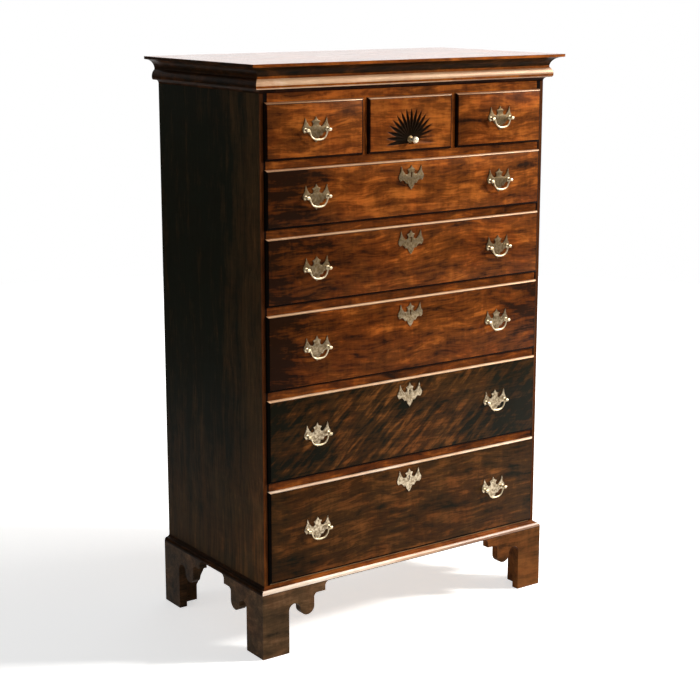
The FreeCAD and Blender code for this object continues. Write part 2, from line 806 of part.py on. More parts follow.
def make_front(drawer):
    """A lipped front with a thumbnail edge, sockets for the sides, and holes for the brasses."""
    name = drawer.name
    body = new_body(f"{name}_front_body")
    low, high = -S.rail_lap, drawer.row.front_high - S.rail_lap
    left, right = drawer.left_edge, drawer.right_edge
    lip_face = S.front_proud - S.thumb_step
    sketch = draw(body, f"{name}_lip", "XZ_Plane", rectangle(left, right, low, high), offset=S.lip_stand)
    lip = pad(body, f"{name}_lip_pad", sketch, lip_face - S.lip_stand)
    doc.recompute()
    thumb = add_feature(body, "Fillet", f"{name}_thumbnail")
    thumb.Base = (lip, front_edges(lip, -lip_face.value))
    bind(thumb, "Radius", S.thumb_round)
    inset = S.thumb_round
    field = rectangle(left + inset, right - inset, low + inset, high - inset)
    sketch = draw(body, f"{name}_field", "XZ_Plane", field, offset=lip_face)
    pad(body, f"{name}_field_pad", sketch, S.thumb_step)
    inner = (drawer.inner_left, drawer.inner_right, S.drawer_rest, S.drawer_rest + drawer.inner_high)
    sketch = draw(body, f"{name}_inner", "XZ_Plane", rectangle(*inner), offset=S.lip_stand)
    pad(body, f"{name}_inner_pad", sketch, S.front_body + S.lip_stand, reverse=True)
    cut_bottom_groove(drawer, body)
    cut_tail_sockets(drawer, body)
    if drawer.fan:
        carve_fan(body)
    cut_brass_holes(drawer, body)
    drawer.place(body)
    node(f"{name}_front", body)


def cut_bottom_groove(drawer, body):
    left = drawer.inner_left + S.drawer_side - S.groove_deep
    right = drawer.inner_right - S.drawer_side + S.groove_deep
    size = (right - left, S.groove_deep, S.drawer_bottom)
    corner = (left, S.front_body - S.groove_deep, S.drawer_rest + S.bottom_up)
    body_box(body, "SubtractiveBox", f"{drawer.name}_front_groove", size, corner)


def tail_shape(wedge, drawer):
    """Sizes a wedge as the lowest dovetail of a drawer side, its root at the back of the front."""
    copies = f"max(round({drawer.inner_high.text} / Sizes.tail_pitch); 2)"
    middle = Size(0.0, f"({drawer.inner_high.text} / {copies} / 2)") + S.drawer_rest
    half_tip = S.tail_wide / 2
    half_root = half_tip - S.tail_slope
    sizes = {
        "Xmin": ZERO,
        "Xmax": S.drawer_side,
        "X2min": ZERO,
        "X2max": S.drawer_side,
        "Ymin": S.front_body - S.drawer_side,
        "Ymax": S.front_body,
        "Zmin": middle - half_tip,
        "Zmax": middle + half_tip,
        "Z2min": middle - half_root,
        "Z2max": middle + half_root,
    }
    for prop, size in sizes.items():
        bind(wedge, prop, size)
    return copies


def repeat_tails(body, name, wedges, drawer, copies):
    """Repeats the dovetail up the height of the drawer side."""
    pattern = add_feature(body, "LinearPattern", name)
    pattern.Originals = wedges
    pattern.Direction = (origin_part(body, "Z_Axis"), [""])
    span = count_of(f"({drawer.inner_high.text} * ({copies} - 1) / {copies})")
    bind(pattern, "Length", span)
    bind(pattern, "Occurrences", count_of(copies))
    body.Tip = pattern
    return pattern


def cut_tail_sockets(drawer, body):
    wedges = []
    for side, edge in (("left", drawer.inner_left), ("right", drawer.inner_right - S.drawer_side)):
        wedge = add_feature(body, "SubtractiveWedge", f"{drawer.name}_socket_{side}")
        copies = tail_shape(wedge, drawer)
        place(wedge, edge, 0, 0)
        wedges.append(wedge)
    repeat_tails(body, f"{drawer.name}_sockets", wedges, drawer, copies)


def carve_fan(body):
    """A round eye with V-shaped rays about it, spread evenly to both sides of the vertical one."""
    height = S.fan_up - S.rail_lap
    eye = draw(body, "fan_eye_line", "XZ_Plane", polygon(ROUND_SIDES, S.eye_radius), offset=S.front_proud)
    bind(eye, "AttachmentOffset.Base.y", height)
    pocket(body, "fan_eye", eye, S.eye_deep)
    start = S.eye_radius * FLAT_SHARE
    face = -S.front_proud
    path = Outline(face + S.ray_start_deep, height + start)
    path.line(face + S.ray_turn_deep, height + S.ray_turn)
    path.line(face + S.ray_tip_deep, height + S.fan_radius)
    top = face - S.ray_start_deep
    corners = ((-S.ray_half * 2, top), (S.ray_half * 2, top), (ZERO, face + S.ray_start_deep))
    ray = add_feature(body, "SubtractivePipe", "fan_ray_cut")
    ray.Profile = draw(body, "fan_ray_section", "XY_Plane", closed_outline(corners), offset=height + start)
    ray.Spine = (draw(body, "fan_ray_path", "YZ_Plane", path, closed=False), [])
    ray.Mode = "Fixed"
    ray.Transition = "Right corner"
    for name, turned_back in (("left", False), ("right", True)):
        pattern = add_feature(body, "PolarPattern", f"fan_rays_{name}")
        pattern.Originals = [ray]
        pattern.Axis = (eye, ["N_Axis"])
        pattern.Reversed = turned_back
        bind(pattern, "Angle", S.fan_below + 90.0)
        bind(pattern, "Occurrences", (S.fan_rays + 1) / 2)
        body.Tip = pattern


def cut_brass_holes(drawer, body):
    """Square holes for the posts, a hole for the knob's stem, a keyhole and a mortise for the lock."""
    through = S.front_proud + S.front_body
    half = S.post_shank / 2
    for side, at in drawer.pulls.items():
        for end, sign in (("a", -1), ("b", 1)):
            size = (S.post_shank, through, S.post_shank)
            corner = (at + S.post_spacing / 2 * sign - half, -S.front_proud, drawer.pull_height - half)
            body_box(body, "SubtractiveBox", f"{drawer.name}_hole_{side}_{end}", size, corner)
    if drawer.fan:
        hole = draw(body, "knob_hole_line", "XZ_Plane", octagon(S.knob_stem))
        bind(hole, "AttachmentOffset.Base.y", S.fan_up - S.rail_lap)
        pocket_through(body, "knob_hole", hole)
    if drawer.has_lock:
        top = S.drawer_rest + drawer.inner_high
        size = (S.lock_wide, S.lock_thick, S.lock_high)
        corner = (-S.lock_wide / 2, S.front_body - S.lock_thick, top - S.lock_high)
        body_box(body, "SubtractiveBox", f"{drawer.name}_mortise", size, corner)
        size = (S.keyhole_round * 2, through, S.keyhole_long + S.keyhole_round)
        corner = (-S.keyhole_round, -S.front_proud, drawer.keyhole_height - S.keyhole_long)
        body_box(body, "SubtractiveBox", f"{drawer.name}_keyhole", size, corner)


def make_box(drawer):
    """Two dovetailed sides, a back between them, and a bottom in grooves."""
    name = drawer.name
    side = new_body(f"{name}_side_body")
    length = DRAWER_LENGTH - S.front_body
    size = (S.drawer_side, length, drawer.inner_high)
    body_box(side, "AdditiveBox", f"{name}_side_board", size, (ZERO, S.front_body, S.drawer_rest))
    wedge = add_feature(side, "AdditiveWedge", f"{name}_tail")
    copies = tail_shape(wedge, drawer)
    repeat_tails(side, f"{name}_tails", [wedge], drawer, copies)
    size = (S.groove_deep, length + S.drawer_side, S.drawer_bottom)
    corner = (S.drawer_side - S.groove_deep, S.front_body - S.drawer_side, S.drawer_rest + S.bottom_up)
    body_box(side, "SubtractiveBox", f"{name}_side_groove", size, corner)
    left = placed(f"{name}_side_left", side, drawer.inner_left, 0, 0)
    flipped = mirror(f"{name}_side_flipped", side, Vector(1, 0, 0))
    right = placed(f"{name}_side_right", flipped, drawer.inner_right, 0, 0)

    back_left = drawer.inner_left + S.drawer_side
    back_wide = drawer.inner_right - S.drawer_side - back_left
    bottom_top = S.drawer_rest + S.bottom_up + S.drawer_bottom
    back_high = S.drawer_rest + drawer.inner_high - bottom_top
    size = (back_wide, S.drawer_side, back_high)
    back = block(f"{name}_back", size, (back_left, DRAWER_LENGTH - S.drawer_side, bottom_top))

    groove = S.groove_deep
    size = (back_wide + groove * 2, DRAWER_LENGTH - S.front_body + groove, S.drawer_bottom)
    corner = (back_left - groove, S.front_body - groove, S.drawer_rest + S.bottom_up)
    bottom = block(f"{name}_bottom", size, corner)
    box = group(f"{name}_box_group", [left, right, back, bottom])
    drawer.place(box)
    node(f"{name}_box", box)


# ---------------------------------------------------------------------------------------------
# Brasses.  A pull is made about the middle of its plate, with Y = 0 on the drawer front's face.
# ---------------------------------------------------------------------------------------------

def plate_points():
    right = list(PLATE_OUTLINE)
    left = [(-x, z) for x, z in reversed(right[1:-1])]
    return [(Size.of(x), Size.of(z)) for x, z in reversed(right)] + [
        (Size.of(x), Size.of(z)) for x, z in reversed(left)
    ]


def make_plate(name):
    body = new_body(name)
    sketch = draw(body, f"{name}_outline", "XZ_Plane", closed_outline(plate_points()))
    pad(body, f"{name}_sheet", sketch, S.plate_thick)
    return body


def make_pull_plate():
    """A plate with square holes for its two posts."""
    body = make_plate("pull_plate")
    half = S.post_shank / 2
    for end, sign in (("a", -1), ("b", 1)):
        size = (S.post_shank, S.plate_thick, S.post_shank)
        corner = (S.post_spacing / 2 * sign - half, -S.plate_thick, -half)
        body_box(body, "SubtractiveBox", f"pull_plate_hole_{end}", size, corner)
    return body


def make_keyhole_plate():
    """A plate with a round eye and a slot below it."""
    body = make_plate("keyhole_plate")
    eye = draw(body, "keyhole_eye_line", "XZ_Plane", octagon(S.keyhole_round))
    bind(eye, "AttachmentOffset.Base.y", S.keyhole_up)
    pocket_through(body, "keyhole_eye", eye)
    size = (S.keyhole_slot, S.plate_thick, S.keyhole_long)
    corner = (-S.keyhole_slot / 2, -S.plate_thick, S.keyhole_up - S.keyhole_long)
    body_box(body, "SubtractiveBox", "keyhole_slot", size, corner)
    return body


HEAD_FLAT = S.post_head * FLAT_SHARE


def make_post():
    """A square shank through plate and drawer front, with a drilled eight-sided head."""
    body = new_body("pull_post")
    out = S.plate_thick + S.post_reach - S.post_head
    inside = S.front_proud + S.front_body + S.nut_thick + S.shank_past
    half = S.post_shank / 2
    size = (S.post_shank, out + inside, S.post_shank)
    body_box(body, "AdditiveBox", "post_shank_bar", size, (-half, -out, -half))
    head = draw(body, "post_head_line", "XZ_Plane", octagon(S.post_head), offset=out)
    pad(body, "post_head_bar", head, S.post_head * 2)
    eye = octagon((S.bail_rod + S.bail_play) / FLAT_SHARE, -S.plate_thick - S.post_reach)
    pocket_through(body, "post_eye", draw(body, "post_eye_line", "YZ_Plane", eye))
    return body


def make_nut():
    inside = S.front_proud + S.front_body
    body = new_body("post_nut")
    half = S.nut_size / 2
    body_box(body, "AdditiveBox", "nut_block", (S.nut_size, S.nut_thick, S.nut_size), (-half, inside, -half))
    half = S.post_shank / 2
    size = (S.post_shank, S.nut_thick, S.post_shank)
    body_box(body, "SubtractiveBox", "nut_hole", size, (-half, inside, -half))
    return body


def make_knob():
    """A ball on an eight-sided stem that passes through a small plate and the drawer front."""
    body = new_body("fan_knob")
    floor = S.eye_deep
    end = S.front_proud + S.front_body + S.shank_past
    stem = draw(body, "knob_stem_line", "XZ_Plane", octagon(S.knob_stem), offset=-end)
    pad(body, "knob_stem_bar", stem, S.knob_reach + end)
    rose = draw(body, "knob_rose_line", "XZ_Plane", polygon(ROUND_SIDES, S.rose_radius), offset=-floor)
    pad(body, "knob_rose", rose, S.rose_thick)
    ball_start = S.knob_reach - S.knob_radius
    outline = polygon(ROUND_SIDES, S.knob_radius)
    ball_line = draw(body, "knob_ball_line", "XZ_Plane", outline, offset=ball_start)
    ball = pad(body, "knob_ball", ball_line, S.knob_radius * 2)
    doc.recompute()
    rounded = add_feature(body, "Chamfer", "knob_ball_round")
    past_stem = (S.knob_stem.value + S.knob_radius.value) / 2
    near = front_edges(ball, -ball_start.value, past_stem)
    far = front_edges(ball, -(S.knob_reach + S.knob_radius).value, past_stem)
    rounded.Base = (ball, near + far)
    bind(rounded, "Size", S.knob_radius * (1 - math.tan(math.pi / 8)))
    return body


def pin_section():
    """The bail's six-sided section with its two lower sides made one round face."""
    angles = [math.radians(60 * step - 30) for step in range(5)]
    corners = [(S.bail_rod * math.cos(a), S.bail_rod * math.sin(a)) for a in angles]
    outline = Outline(*corners[0])
    for corner in corners[1:]:
        outline.line(*corner)
    return outline.arc(*corners[0], S.bail_rod, LEFT)


def make_bail_rod():
    """The bail about its hinge line: pins along X, arms hanging down, and a bar between them."""
    body = new_body("bail_rod")
    pin_end = S.post_spacing / 2 + HEAD_FLAT + S.bail_past
    inner_end = S.post_spacing / 2 - HEAD_FLAT
    bend = S.bail_bend
    mitre = S.bail_rod * math.tan(math.radians(22.5))
    bend_start = inner_end - S.bail_play - mitre
    arm = bend_start - bend
    turned = S.bail_corner
    eased = turned * (1 - math.cos(math.radians(45)))
    half = ((inner_end, 0), (bend_start, 0), (arm, -bend), (arm, turned - S.bail_drop))
    half += ((arm - eased, eased - S.bail_drop), (arm - turned, -S.bail_drop))
    points = [(-x, z) for x, z in half] + list(reversed(half))
    path = Outline(*points[0])
    for point in points[1:]:
        path.line(*point)
    spine = draw(body, "bail_path", "XZ_Plane", path, closed=False)
    section = draw(body, "bail_section", "YZ_Plane", polygon(6, S.bail_rod), offset=-inner_end)
    pipe = add_feature(body, "AdditivePipe", "bail_bar")
    pipe.Profile = section
    pipe.Spine = (spine, [])
    pipe.Transition = "Right corner"
    for end, start in (("a", -pin_end), ("b", inner_end)):
        section = draw(body, f"bail_pin_line_{end}", "YZ_Plane", pin_section(), offset=start)
        pad(body, f"bail_pin_{end}", section, pin_end - inner_end)
    return body


class Brasses:
    """The brass pieces that are made once and used on many drawers."""

    def __init__(self):
        self.pull_plate = make_pull_plate()
        self.keyhole_plate = make_keyhole_plate()
        self.post = make_post()
        self.nut = make_nut()
        self.knob = make_knob()
        self.bail = make_bail_rod()

    def fit(self, drawer):
        """Puts the drawer's plates, posts, nuts, lock and knob into one sub-part."""
        name = drawer.name
        face = -S.front_proud
        pieces = []
        for side, at in drawer.pulls.items():
            height = drawer.pull_height
            pieces.append(placed(f"{name}_plate_{side}", self.pull_plate, at, face, height))
            for end, sign in (("a", -1), ("b", 1)):
                x = at + S.post_spacing / 2 * sign
                pieces.append(placed(f"{name}_post_{side}_{end}", self.post, x, face, height))
                pieces.append(placed(f"{name}_nut_{side}_{end}", self.nut, x, face, height))
            self.hang_bail(drawer, side, at, height)
        if drawer.has_lock:
            height = drawer.keyhole_height - S.keyhole_up
            pieces.append(placed(f"{name}_keyhole_plate", self.keyhole_plate, 0, face, height))
            size = (S.lock_wide, S.lock_thick, S.lock_high)
            top = S.drawer_rest + drawer.inner_high
            corner = (-S.lock_wide / 2, S.front_body - S.lock_thick, top - S.lock_high)
            pieces.append(block(f"{name}_lock", size, corner))
        if drawer.fan:
            pieces.append(placed(f"{name}_knob", self.knob, 0, face, S.fan_up - S.rail_lap))
        brasses = group(f"{name}_brass_group", pieces)
        drawer.place(brasses)
        node(f"{name}_brasses", brasses)

    def hang_bail(self, drawer, side, at, height):
        out = S.front_proud + S.plate_thick + S.post_reach
        corner = (drawer.centre + at, CASE_FRONT - out, drawer.row.opening_low + height)
        bail = placed(f"{drawer.name}_bail_{side}", self.bail, *corner)
        node(f"bail_{drawer.row.number}_{side}", bail)


# ---------------------------------------------------------------------------------------------
# The whole chest
# ---------------------------------------------------------------------------------------------

def make_case():
    make_sides()
    make_top_and_bottom()
    make_back()
    make_top_rail()
    for row in ROWS[1:]:
        make_frame(row)
    make_dividers()
    make_moulding_set("cornice", cornice_profile, S.cornice_reach, CORNICE_LOW)
    make_moulding_set("base_moulding", base_profile, BASE_REACH, S.foot_high)
    make_base_rail()
    make_feet()


def make_drawers():
    brasses = Brasses()
    for drawer in all_drawers():
        make_front(drawer)
        make_box(drawer)
        brasses.fit(drawer)


def check():
    """Stops if any object failed, or any sub-part is empty or not a valid shape."""
    failed = [part.Name for part in doc.Objects if "Invalid" in part.State or "Error" in part.State]
    if failed:
        raise RuntimeError(f"failed objects: {failed}")
    for piece in nodes:
        shape = piece.Shape
        if shape.isNull() or not shape.isValid() or not shape.Solids:
            raise RuntimeError(f"bad shape: {piece.Label}")


def export():
    os.makedirs("parts", exist_ok=True)
    for piece in nodes:
        piece.Shape.exportStep(os.path.join("parts", f"{piece.Label}.step"))


make_case()
make_drawers()
doc.recompute()
check()
export()
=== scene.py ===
"""A tall cherry chest of drawers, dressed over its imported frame."""
import logging
import math
from collections.abc import Sequence
from dataclasses import dataclass, replace
from enum import Enum

import bmesh
import bpy
from mathutils import Euler, Matrix, Vector


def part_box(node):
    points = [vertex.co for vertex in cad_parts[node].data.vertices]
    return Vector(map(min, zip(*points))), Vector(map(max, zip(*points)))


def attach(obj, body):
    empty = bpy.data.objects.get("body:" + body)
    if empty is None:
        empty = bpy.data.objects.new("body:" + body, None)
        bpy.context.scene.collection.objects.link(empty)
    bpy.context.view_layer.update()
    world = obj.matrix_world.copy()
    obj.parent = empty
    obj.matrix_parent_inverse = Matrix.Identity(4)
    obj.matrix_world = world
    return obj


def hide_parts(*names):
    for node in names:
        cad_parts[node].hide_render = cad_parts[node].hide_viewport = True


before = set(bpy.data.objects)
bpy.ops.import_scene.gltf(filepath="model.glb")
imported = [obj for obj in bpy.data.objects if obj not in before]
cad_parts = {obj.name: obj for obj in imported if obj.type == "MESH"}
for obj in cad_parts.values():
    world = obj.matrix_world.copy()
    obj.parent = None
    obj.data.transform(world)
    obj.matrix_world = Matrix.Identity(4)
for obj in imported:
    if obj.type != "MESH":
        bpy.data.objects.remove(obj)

LOG = logging.getLogger("chest")
MM = 0.001
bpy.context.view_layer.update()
ORIGIN = (0.0, 0.0, 0.0)
X_AXIS = Vector((1.0, 0.0, 0.0))
Y_AXIS = Vector((0.0, 1.0, 0.0))

# Over which depth a case side turns into its front edge, and over which width that edge darkens as a
# painted shadow of the proud drawer fronts, in metres.
FRONT_EDGE = (-0.2224, -0.2212)
LIP_SHADOW_EDGE = (0.4305, 0.4345)
# Where along the figure the dark, the middle and the light stain lie.
STAIN_PLACES = (0.15, 0.5, 0.82)
# How far the figure jumps along and through the wood from one joined board to the next, in metres.
BOARD_JUMP = (0.83, 0.37)
# The redder tint of the warm clouds in the stain, and the near-black of the painted shade in the carving's
# hollows.
WARM_TINT = (1.0, 0.72, 0.62)
HOLLOW_SHADE_COLOUR = (0.004, 0.003, 0.0015)
# The low shine of the darkened copies that paint shade on edges, hollows and shaded runs.
PAINTED_SHADE_SHINE = 0.02

Triple = tuple[float, float, float]
Colour = Triple
Point = tuple[float, float]


class Grain(Enum):
    """The way a board's grain runs, as the order of its lengthwise and crosswise axes."""

    ALONG_X = ("X", "Z", "Y")
    ALONG_Y = ("Y", "Z", "X")
    ALONG_Z = ("Z", "X", "Y")


class Corner(Enum):
    """How a cut line passes one of its points."""

    TIP = "VECTOR"
    ROUND = "AUTO"


CutPoint = tuple[float, float, Corner]


# ---------------------------------------------------------------------------------------------
# Finishes
# ---------------------------------------------------------------------------------------------


class Graph:
    """The node tree of one material or world, with short calls for the nodes it is made of."""

    def __init__(self, owner: bpy.types.Material | bpy.types.World) -> None:
        """Starts with an empty tree.

        Args:
            owner: The material or the world.
        """
        owner.use_nodes = True
        self.owner = owner
        self.nodes = owner.node_tree.nodes
        self.links = owner.node_tree.links
        self.nodes.clear()

    def add(self, kind: str, **settings: object) -> bpy.types.Node:
        """Adds a node and sets its properties.

        Args:
            kind: The node's type, without "ShaderNode".
            **settings: Properties of the node.

        Returns:
            The node.
        """
        node = self.nodes.new("ShaderNode" + kind)
        for key, value in settings.items():
            setattr(node, key, value)
        return node

    def plug(self, node: bpy.types.Node, name: str | int, value: object) -> None:
        """Links a socket to the node's input, or sets the input to a constant.

        Args:
            node: The node.
            name: The input's name or number.
            value: A socket or a constant.
        """
        if isinstance(value, bpy.types.NodeSocket):
            self.links.new(value, node.inputs[name])
        else:
            node.inputs[name].default_value = value

    def object_point(self) -> bpy.types.NodeSocket:
        """The point on the piece, in metres."""
        return self.add("TexCoord").outputs["Object"]

    def sort_axes(self, point: bpy.types.NodeSocket, grain: Grain) -> bpy.types.NodeSocket:
        """Turns a point into lengthwise, crosswise and thickness coordinates.

        Args:
            point: The point on the piece.
            grain: The way the grain runs.

        Returns:
            The sorted point.
        """
        parts = self.add("SeparateXYZ")
        self.plug(parts, 0, point)
        merged = self.add("CombineXYZ")
        for index, axis in enumerate(grain.value):
            self.plug(merged, index, parts.outputs[axis])
        return merged.outputs[0]

    def mapped(
        self,
        point: bpy.types.NodeSocket,
        scale: Triple = (1.0, 1.0, 1.0),
        shift: Triple = ORIGIN,
        turn: Triple = ORIGIN,
    ) -> bpy.types.NodeSocket:
        """Moves, turns and scales the coordinates of a pattern.

        Args:
            point: The coordinates.
            scale: Scale along each axis.
            shift: Distance along each axis.
            turn: Turn about each axis, in radians.

        Returns:
            The new coordinates.
        """
        node = self.add("Mapping")
        self.plug(node, "Vector", point)
        self.plug(node, "Scale", scale)
        self.plug(node, "Location", shift)
        self.plug(node, "Rotation", turn)
        return node.outputs[0]

    def noise(
        self,
        point: bpy.types.NodeSocket,
        scale: float = 1.0,
        detail: float = 2.0,
        rough: float = 0.5,
        swirl: float = 0.0,
    ) -> bpy.types.Node:
        """A noise texture at the given coordinates.

        Args:
            point: The coordinates.
            scale: How many lumps to a metre.
            detail: How many finer layers it has.
            rough: How strong the finer layers are.
            swirl: How much it is distorted.

        Returns:
            The texture node.
        """
        node = self.add("TexNoise")
        self.plug(node, "Vector", point)
        self.plug(node, "Scale", scale)
        self.plug(node, "Detail", detail)
        self.plug(node, "Roughness", rough)
        self.plug(node, "Distortion", swirl)
        return node

    def math(self, operation: str, first: object, second: object = 0.0) -> bpy.types.NodeSocket:
        """The result of one sum.

        Args:
            operation: The kind of sum.
            first: A number or a socket.
            second: A number or a socket.

        Returns:
            The result.
        """
        node = self.add("Math", operation=operation)
        self.plug(node, 0, first)
        self.plug(node, 1, second)
        return node.outputs[0]

    def centred(self, value: bpy.types.NodeSocket, strength: float) -> bpy.types.NodeSocket:
        """A texture's value about nought, times a strength."""
        return self.math("MULTIPLY", self.math("SUBTRACT", value, 0.5), strength)

    def spread(
        self, value: bpy.types.NodeSocket, low: float, high: float, out_low: float, out_high: float
    ) -> bpy.types.NodeSocket:
        """Maps a range of values smoothly to another.

        Args:
            value: The value.
            low: The start of its range.
            high: The end of its range.
            out_low: The result at the start.
            out_high: The result at the end.

        Returns:
            The mapped value.
        """
        node = self.add("MapRange", interpolation_type="SMOOTHSTEP")
        for index, number in enumerate((value, low, high, out_low, out_high)):
            self.plug(node, index, number)
        return node.outputs[0]

    def ramp(
        self, value: bpy.types.NodeSocket, stops: tuple[tuple[float, Colour], ...]
    ) -> bpy.types.NodeSocket:
        """A colour chosen along a row of stops.

        Args:
            value: Where along the row.
            stops: The place and the colour of each stop.

        Returns:
            The colour.
        """
        node = self.add("ValToRGB")
        self.plug(node, 0, value)
        elements = node.color_ramp.elements
        while len(elements) < len(stops):
            elements.new(0.5)
        for element, (place, colour) in zip(elements, stops):
            element.position = place
            element.color = (*colour, 1.0)
        return node.outputs[0]

    def grey(self, value: bpy.types.NodeSocket) -> bpy.types.NodeSocket:
        """A number as a grey colour.

        Args:
            value: The number.

        Returns:
            The colour.
        """
        merged = self.add("CombineColor")
        for index in range(3):
            self.plug(merged, index, value)
        return merged.outputs[0]

    def blend(
        self, share: object, first: object, second: object, kind: str = "MIX"
    ) -> bpy.types.NodeSocket:
        """Mixes two colours.

        Args:
            share: How much of the second.
            first: A colour or a socket.
            second: A colour or a socket.
            kind: The way they mix.

        Returns:
            The mixed colour.
        """
        node = self.add("Mix", data_type="RGBA", blend_type=kind)
        self.plug(node, 0, share)
        for index, value in ((6, first), (7, second)):
            self.plug(node, index, (*value, 1.0) if isinstance(value, tuple) else value)
        return node.outputs[2]

    def bump(
        self, height: bpy.types.NodeSocket, depth: float, strength: float = 1.0
    ) -> bpy.types.NodeSocket:
        """A surface normal with relief.

        Args:
            height: The relief, from nought to one.
            depth: The relief's depth in metres.
            strength: How much of it shows.

        Returns:
            The normal.
        """
        node = self.add("Bump")
        self.plug(node, "Height", height)
        self.plug(node, "Distance", depth)
        self.plug(node, "Strength", strength)
        return node.outputs[0]

    def close(self, **sockets: object) -> bpy.types.Material:
        """Ends the tree in a Principled shader.

        Args:
            **sockets: Its inputs, with spaces written as underscores.

        Returns:
            The material.
        """
        shader = self.add("BsdfPrincipled")
        for key, value in sockets.items():
            self.plug(shader, key.replace("_", " "), value)
        self.links.new(shader.outputs[0], self.add("OutputMaterial").inputs[0])
        return self.owner


@dataclass(frozen=True)
class Fade:
    """Where a board darkens: along which of its sorted axes, from where to where, and how much."""

    axis: int
    start: float
    end: float
    amount: float


@dataclass(frozen=True)
class Wood:
    """A board's wood: its colours, the way its grain runs, and how lively its figure is."""

    name: str
    dark: Colour
    middle: Colour
    light: Colour
    grain: Grain = Grain.ALONG_X
    shift: Triple = ORIGIN
    tone: float = 0.0
    bands: float = 0.6
    clouds: float = 0.7
    mottle: float = 1.1
    ripple: float = 0.3
    streaks: float = 0.45
    warmth: float = 0.35
    curl: float = 0.0
    fades: tuple[Fade, ...] = ()
    gloss: float = 0.33
    shine: float = 0.12
    relief: float = 0.00025
    tint: Colour = (1.0, 1.0, 1.0)
    # Whether the carving's hollows are darkened as painted shade.
    shaded_hollows: bool = False
    joints: tuple[float, ...] = ()
    front_stop: tuple[Colour, Colour, Colour] | None = None

    def material(self) -> bpy.types.Material:
        """The wood as a material.

        Returns:
            The material.
        """
        graph = Graph(bpy.data.materials.new(self.name))
        sorted_point = graph.sort_axes(graph.object_point(), self.grain)
        board = graph.mapped(self.boards(graph, sorted_point), shift=self.shift)
        bent = self.wandering(graph, board)
        streaks = graph.noise(graph.mapped(bent, (7.0, 240.0, 240.0)), 1.0, 3.0, 0.6).outputs[0]
        colour = self.coloured(graph, self.figure(graph, board, bent, streaks), sorted_point)
        cloud = graph.noise(board, 9.0, 3.0, 0.6, 0.6).outputs[0]
        warm = graph.spread(cloud, 0.42, 0.6, 0.0, self.warmth)
        colour = graph.blend(warm, colour, WARM_TINT, "MULTIPLY")
        pores = graph.noise(graph.mapped(bent, (60.0, 1500.0, 1500.0)), 1.0, 2.0).outputs[0]
        pitted = graph.spread(pores, 0.3, 0.42, 0.72, 1.0)
        colour = graph.blend(1.0, colour, graph.grey(pitted), "MULTIPLY")
        rough = graph.spread(streaks, 0.3, 0.7, self.gloss + 0.07, self.gloss - 0.04)
        # Painted shade darkens the carving's hollows, which also lose their sheen.
        if self.shaded_hollows:
            hollow_shade = self.hollow_shade(graph)
            colour = graph.blend(hollow_shade, colour, HOLLOW_SHADE_COLOUR)
            rough = graph.math("ADD", rough, graph.math("MULTIPLY", hollow_shade, 0.55))
        return graph.close(
            Base_Color=colour,
            Roughness=rough,
            Specular_IOR_Level=self.shine,
            Specular_Tint=(*self.tint, 1.0),
            Normal=graph.bump(graph.math("ADD", streaks, pitted), self.relief, 0.3),
        )

    def figure(
        self,
        graph: Graph,
        board: bpy.types.NodeSocket,
        bent: bpy.types.NodeSocket,
        streaks: bpy.types.NodeSocket,
    ) -> bpy.types.NodeSocket:
        """The figure of the wood, from its darkest to its lightest.

        Args:
            graph: The material's nodes.
            board: The sorted coordinates.
            bent: The same, swaying across the grain.
            streaks: The fine streaks along the grain.

        Returns:
            A value about a half.
        """
        value = graph.math("ADD", 0.5 + self.tone, graph.centred(streaks, self.streaks))
        # Each layer of the figure has its coordinates, its scale, its swirl and its strength.
        for point, scale, swirl, strength in (
            (bent, (1.5, 34.0, 34.0), 0.0, self.bands),
            (board, (6.0, 10.0, 10.0), 0.8, self.clouds),
            (bent, (13.0, 52.0, 52.0), 0.45, self.mottle),
            (bent, (75.0, 17.0, 17.0), 0.5, self.ripple),
        ):
            texture = graph.noise(graph.mapped(point, scale), 1.0, 4.0, 0.62, swirl).outputs[0]
            value = graph.math("ADD", value, graph.centred(texture, strength))
        if self.curl:
            value = graph.math("ADD", value, self.curled(graph, board))
        return value

    def coloured(
        self, graph: Graph, value: bpy.types.NodeSocket, sorted_point: bpy.types.NodeSocket
    ) -> bpy.types.NodeSocket:
        """The stain over the figure, with its dark ends, its joints and its front edge; the ends are partly
        painted shade, and the edge's strip beside the drawers is a painted shadow.

        Args:
            graph: The material's nodes.
            value: The figure.
            sorted_point: The point along, across and through the board.

        Returns:
            The colour.
        """
        parts = graph.add("SeparateXYZ")
        graph.plug(parts, 0, sorted_point)
        for fade in self.fades:
            shade = graph.spread(parts.outputs[fade.axis], fade.start, fade.end, 0.0, fade.amount)
            value = graph.math("SUBTRACT", value, shade)
        colour = self.stained(graph, value, (self.dark, self.middle, self.light))
        for height in self.joints:
            near = graph.math("ABSOLUTE", graph.math("SUBTRACT", parts.outputs[1], height))
            seam = graph.grey(graph.spread(near, 0.0003, 0.0012, 0.1, 1.0))
            colour = graph.blend(1.0, colour, seam, "MULTIPLY")
        if self.front_stop:
            stile = graph.spread(parts.outputs[2], *FRONT_EDGE, 1.0, 0.0)
            aside = graph.math("ABSOLUTE", parts.outputs[1])
            # The strip beside the drawer lips darkens as a painted shadow cast by them.
            inner = graph.grey(graph.spread(aside, *LIP_SHADOW_EDGE, 0.06, 1.0))
            edge = graph.blend(1.0, self.stained(graph, value, self.front_stop), inner, "MULTIPLY")
            colour = graph.blend(stile, colour, edge)
        return colour

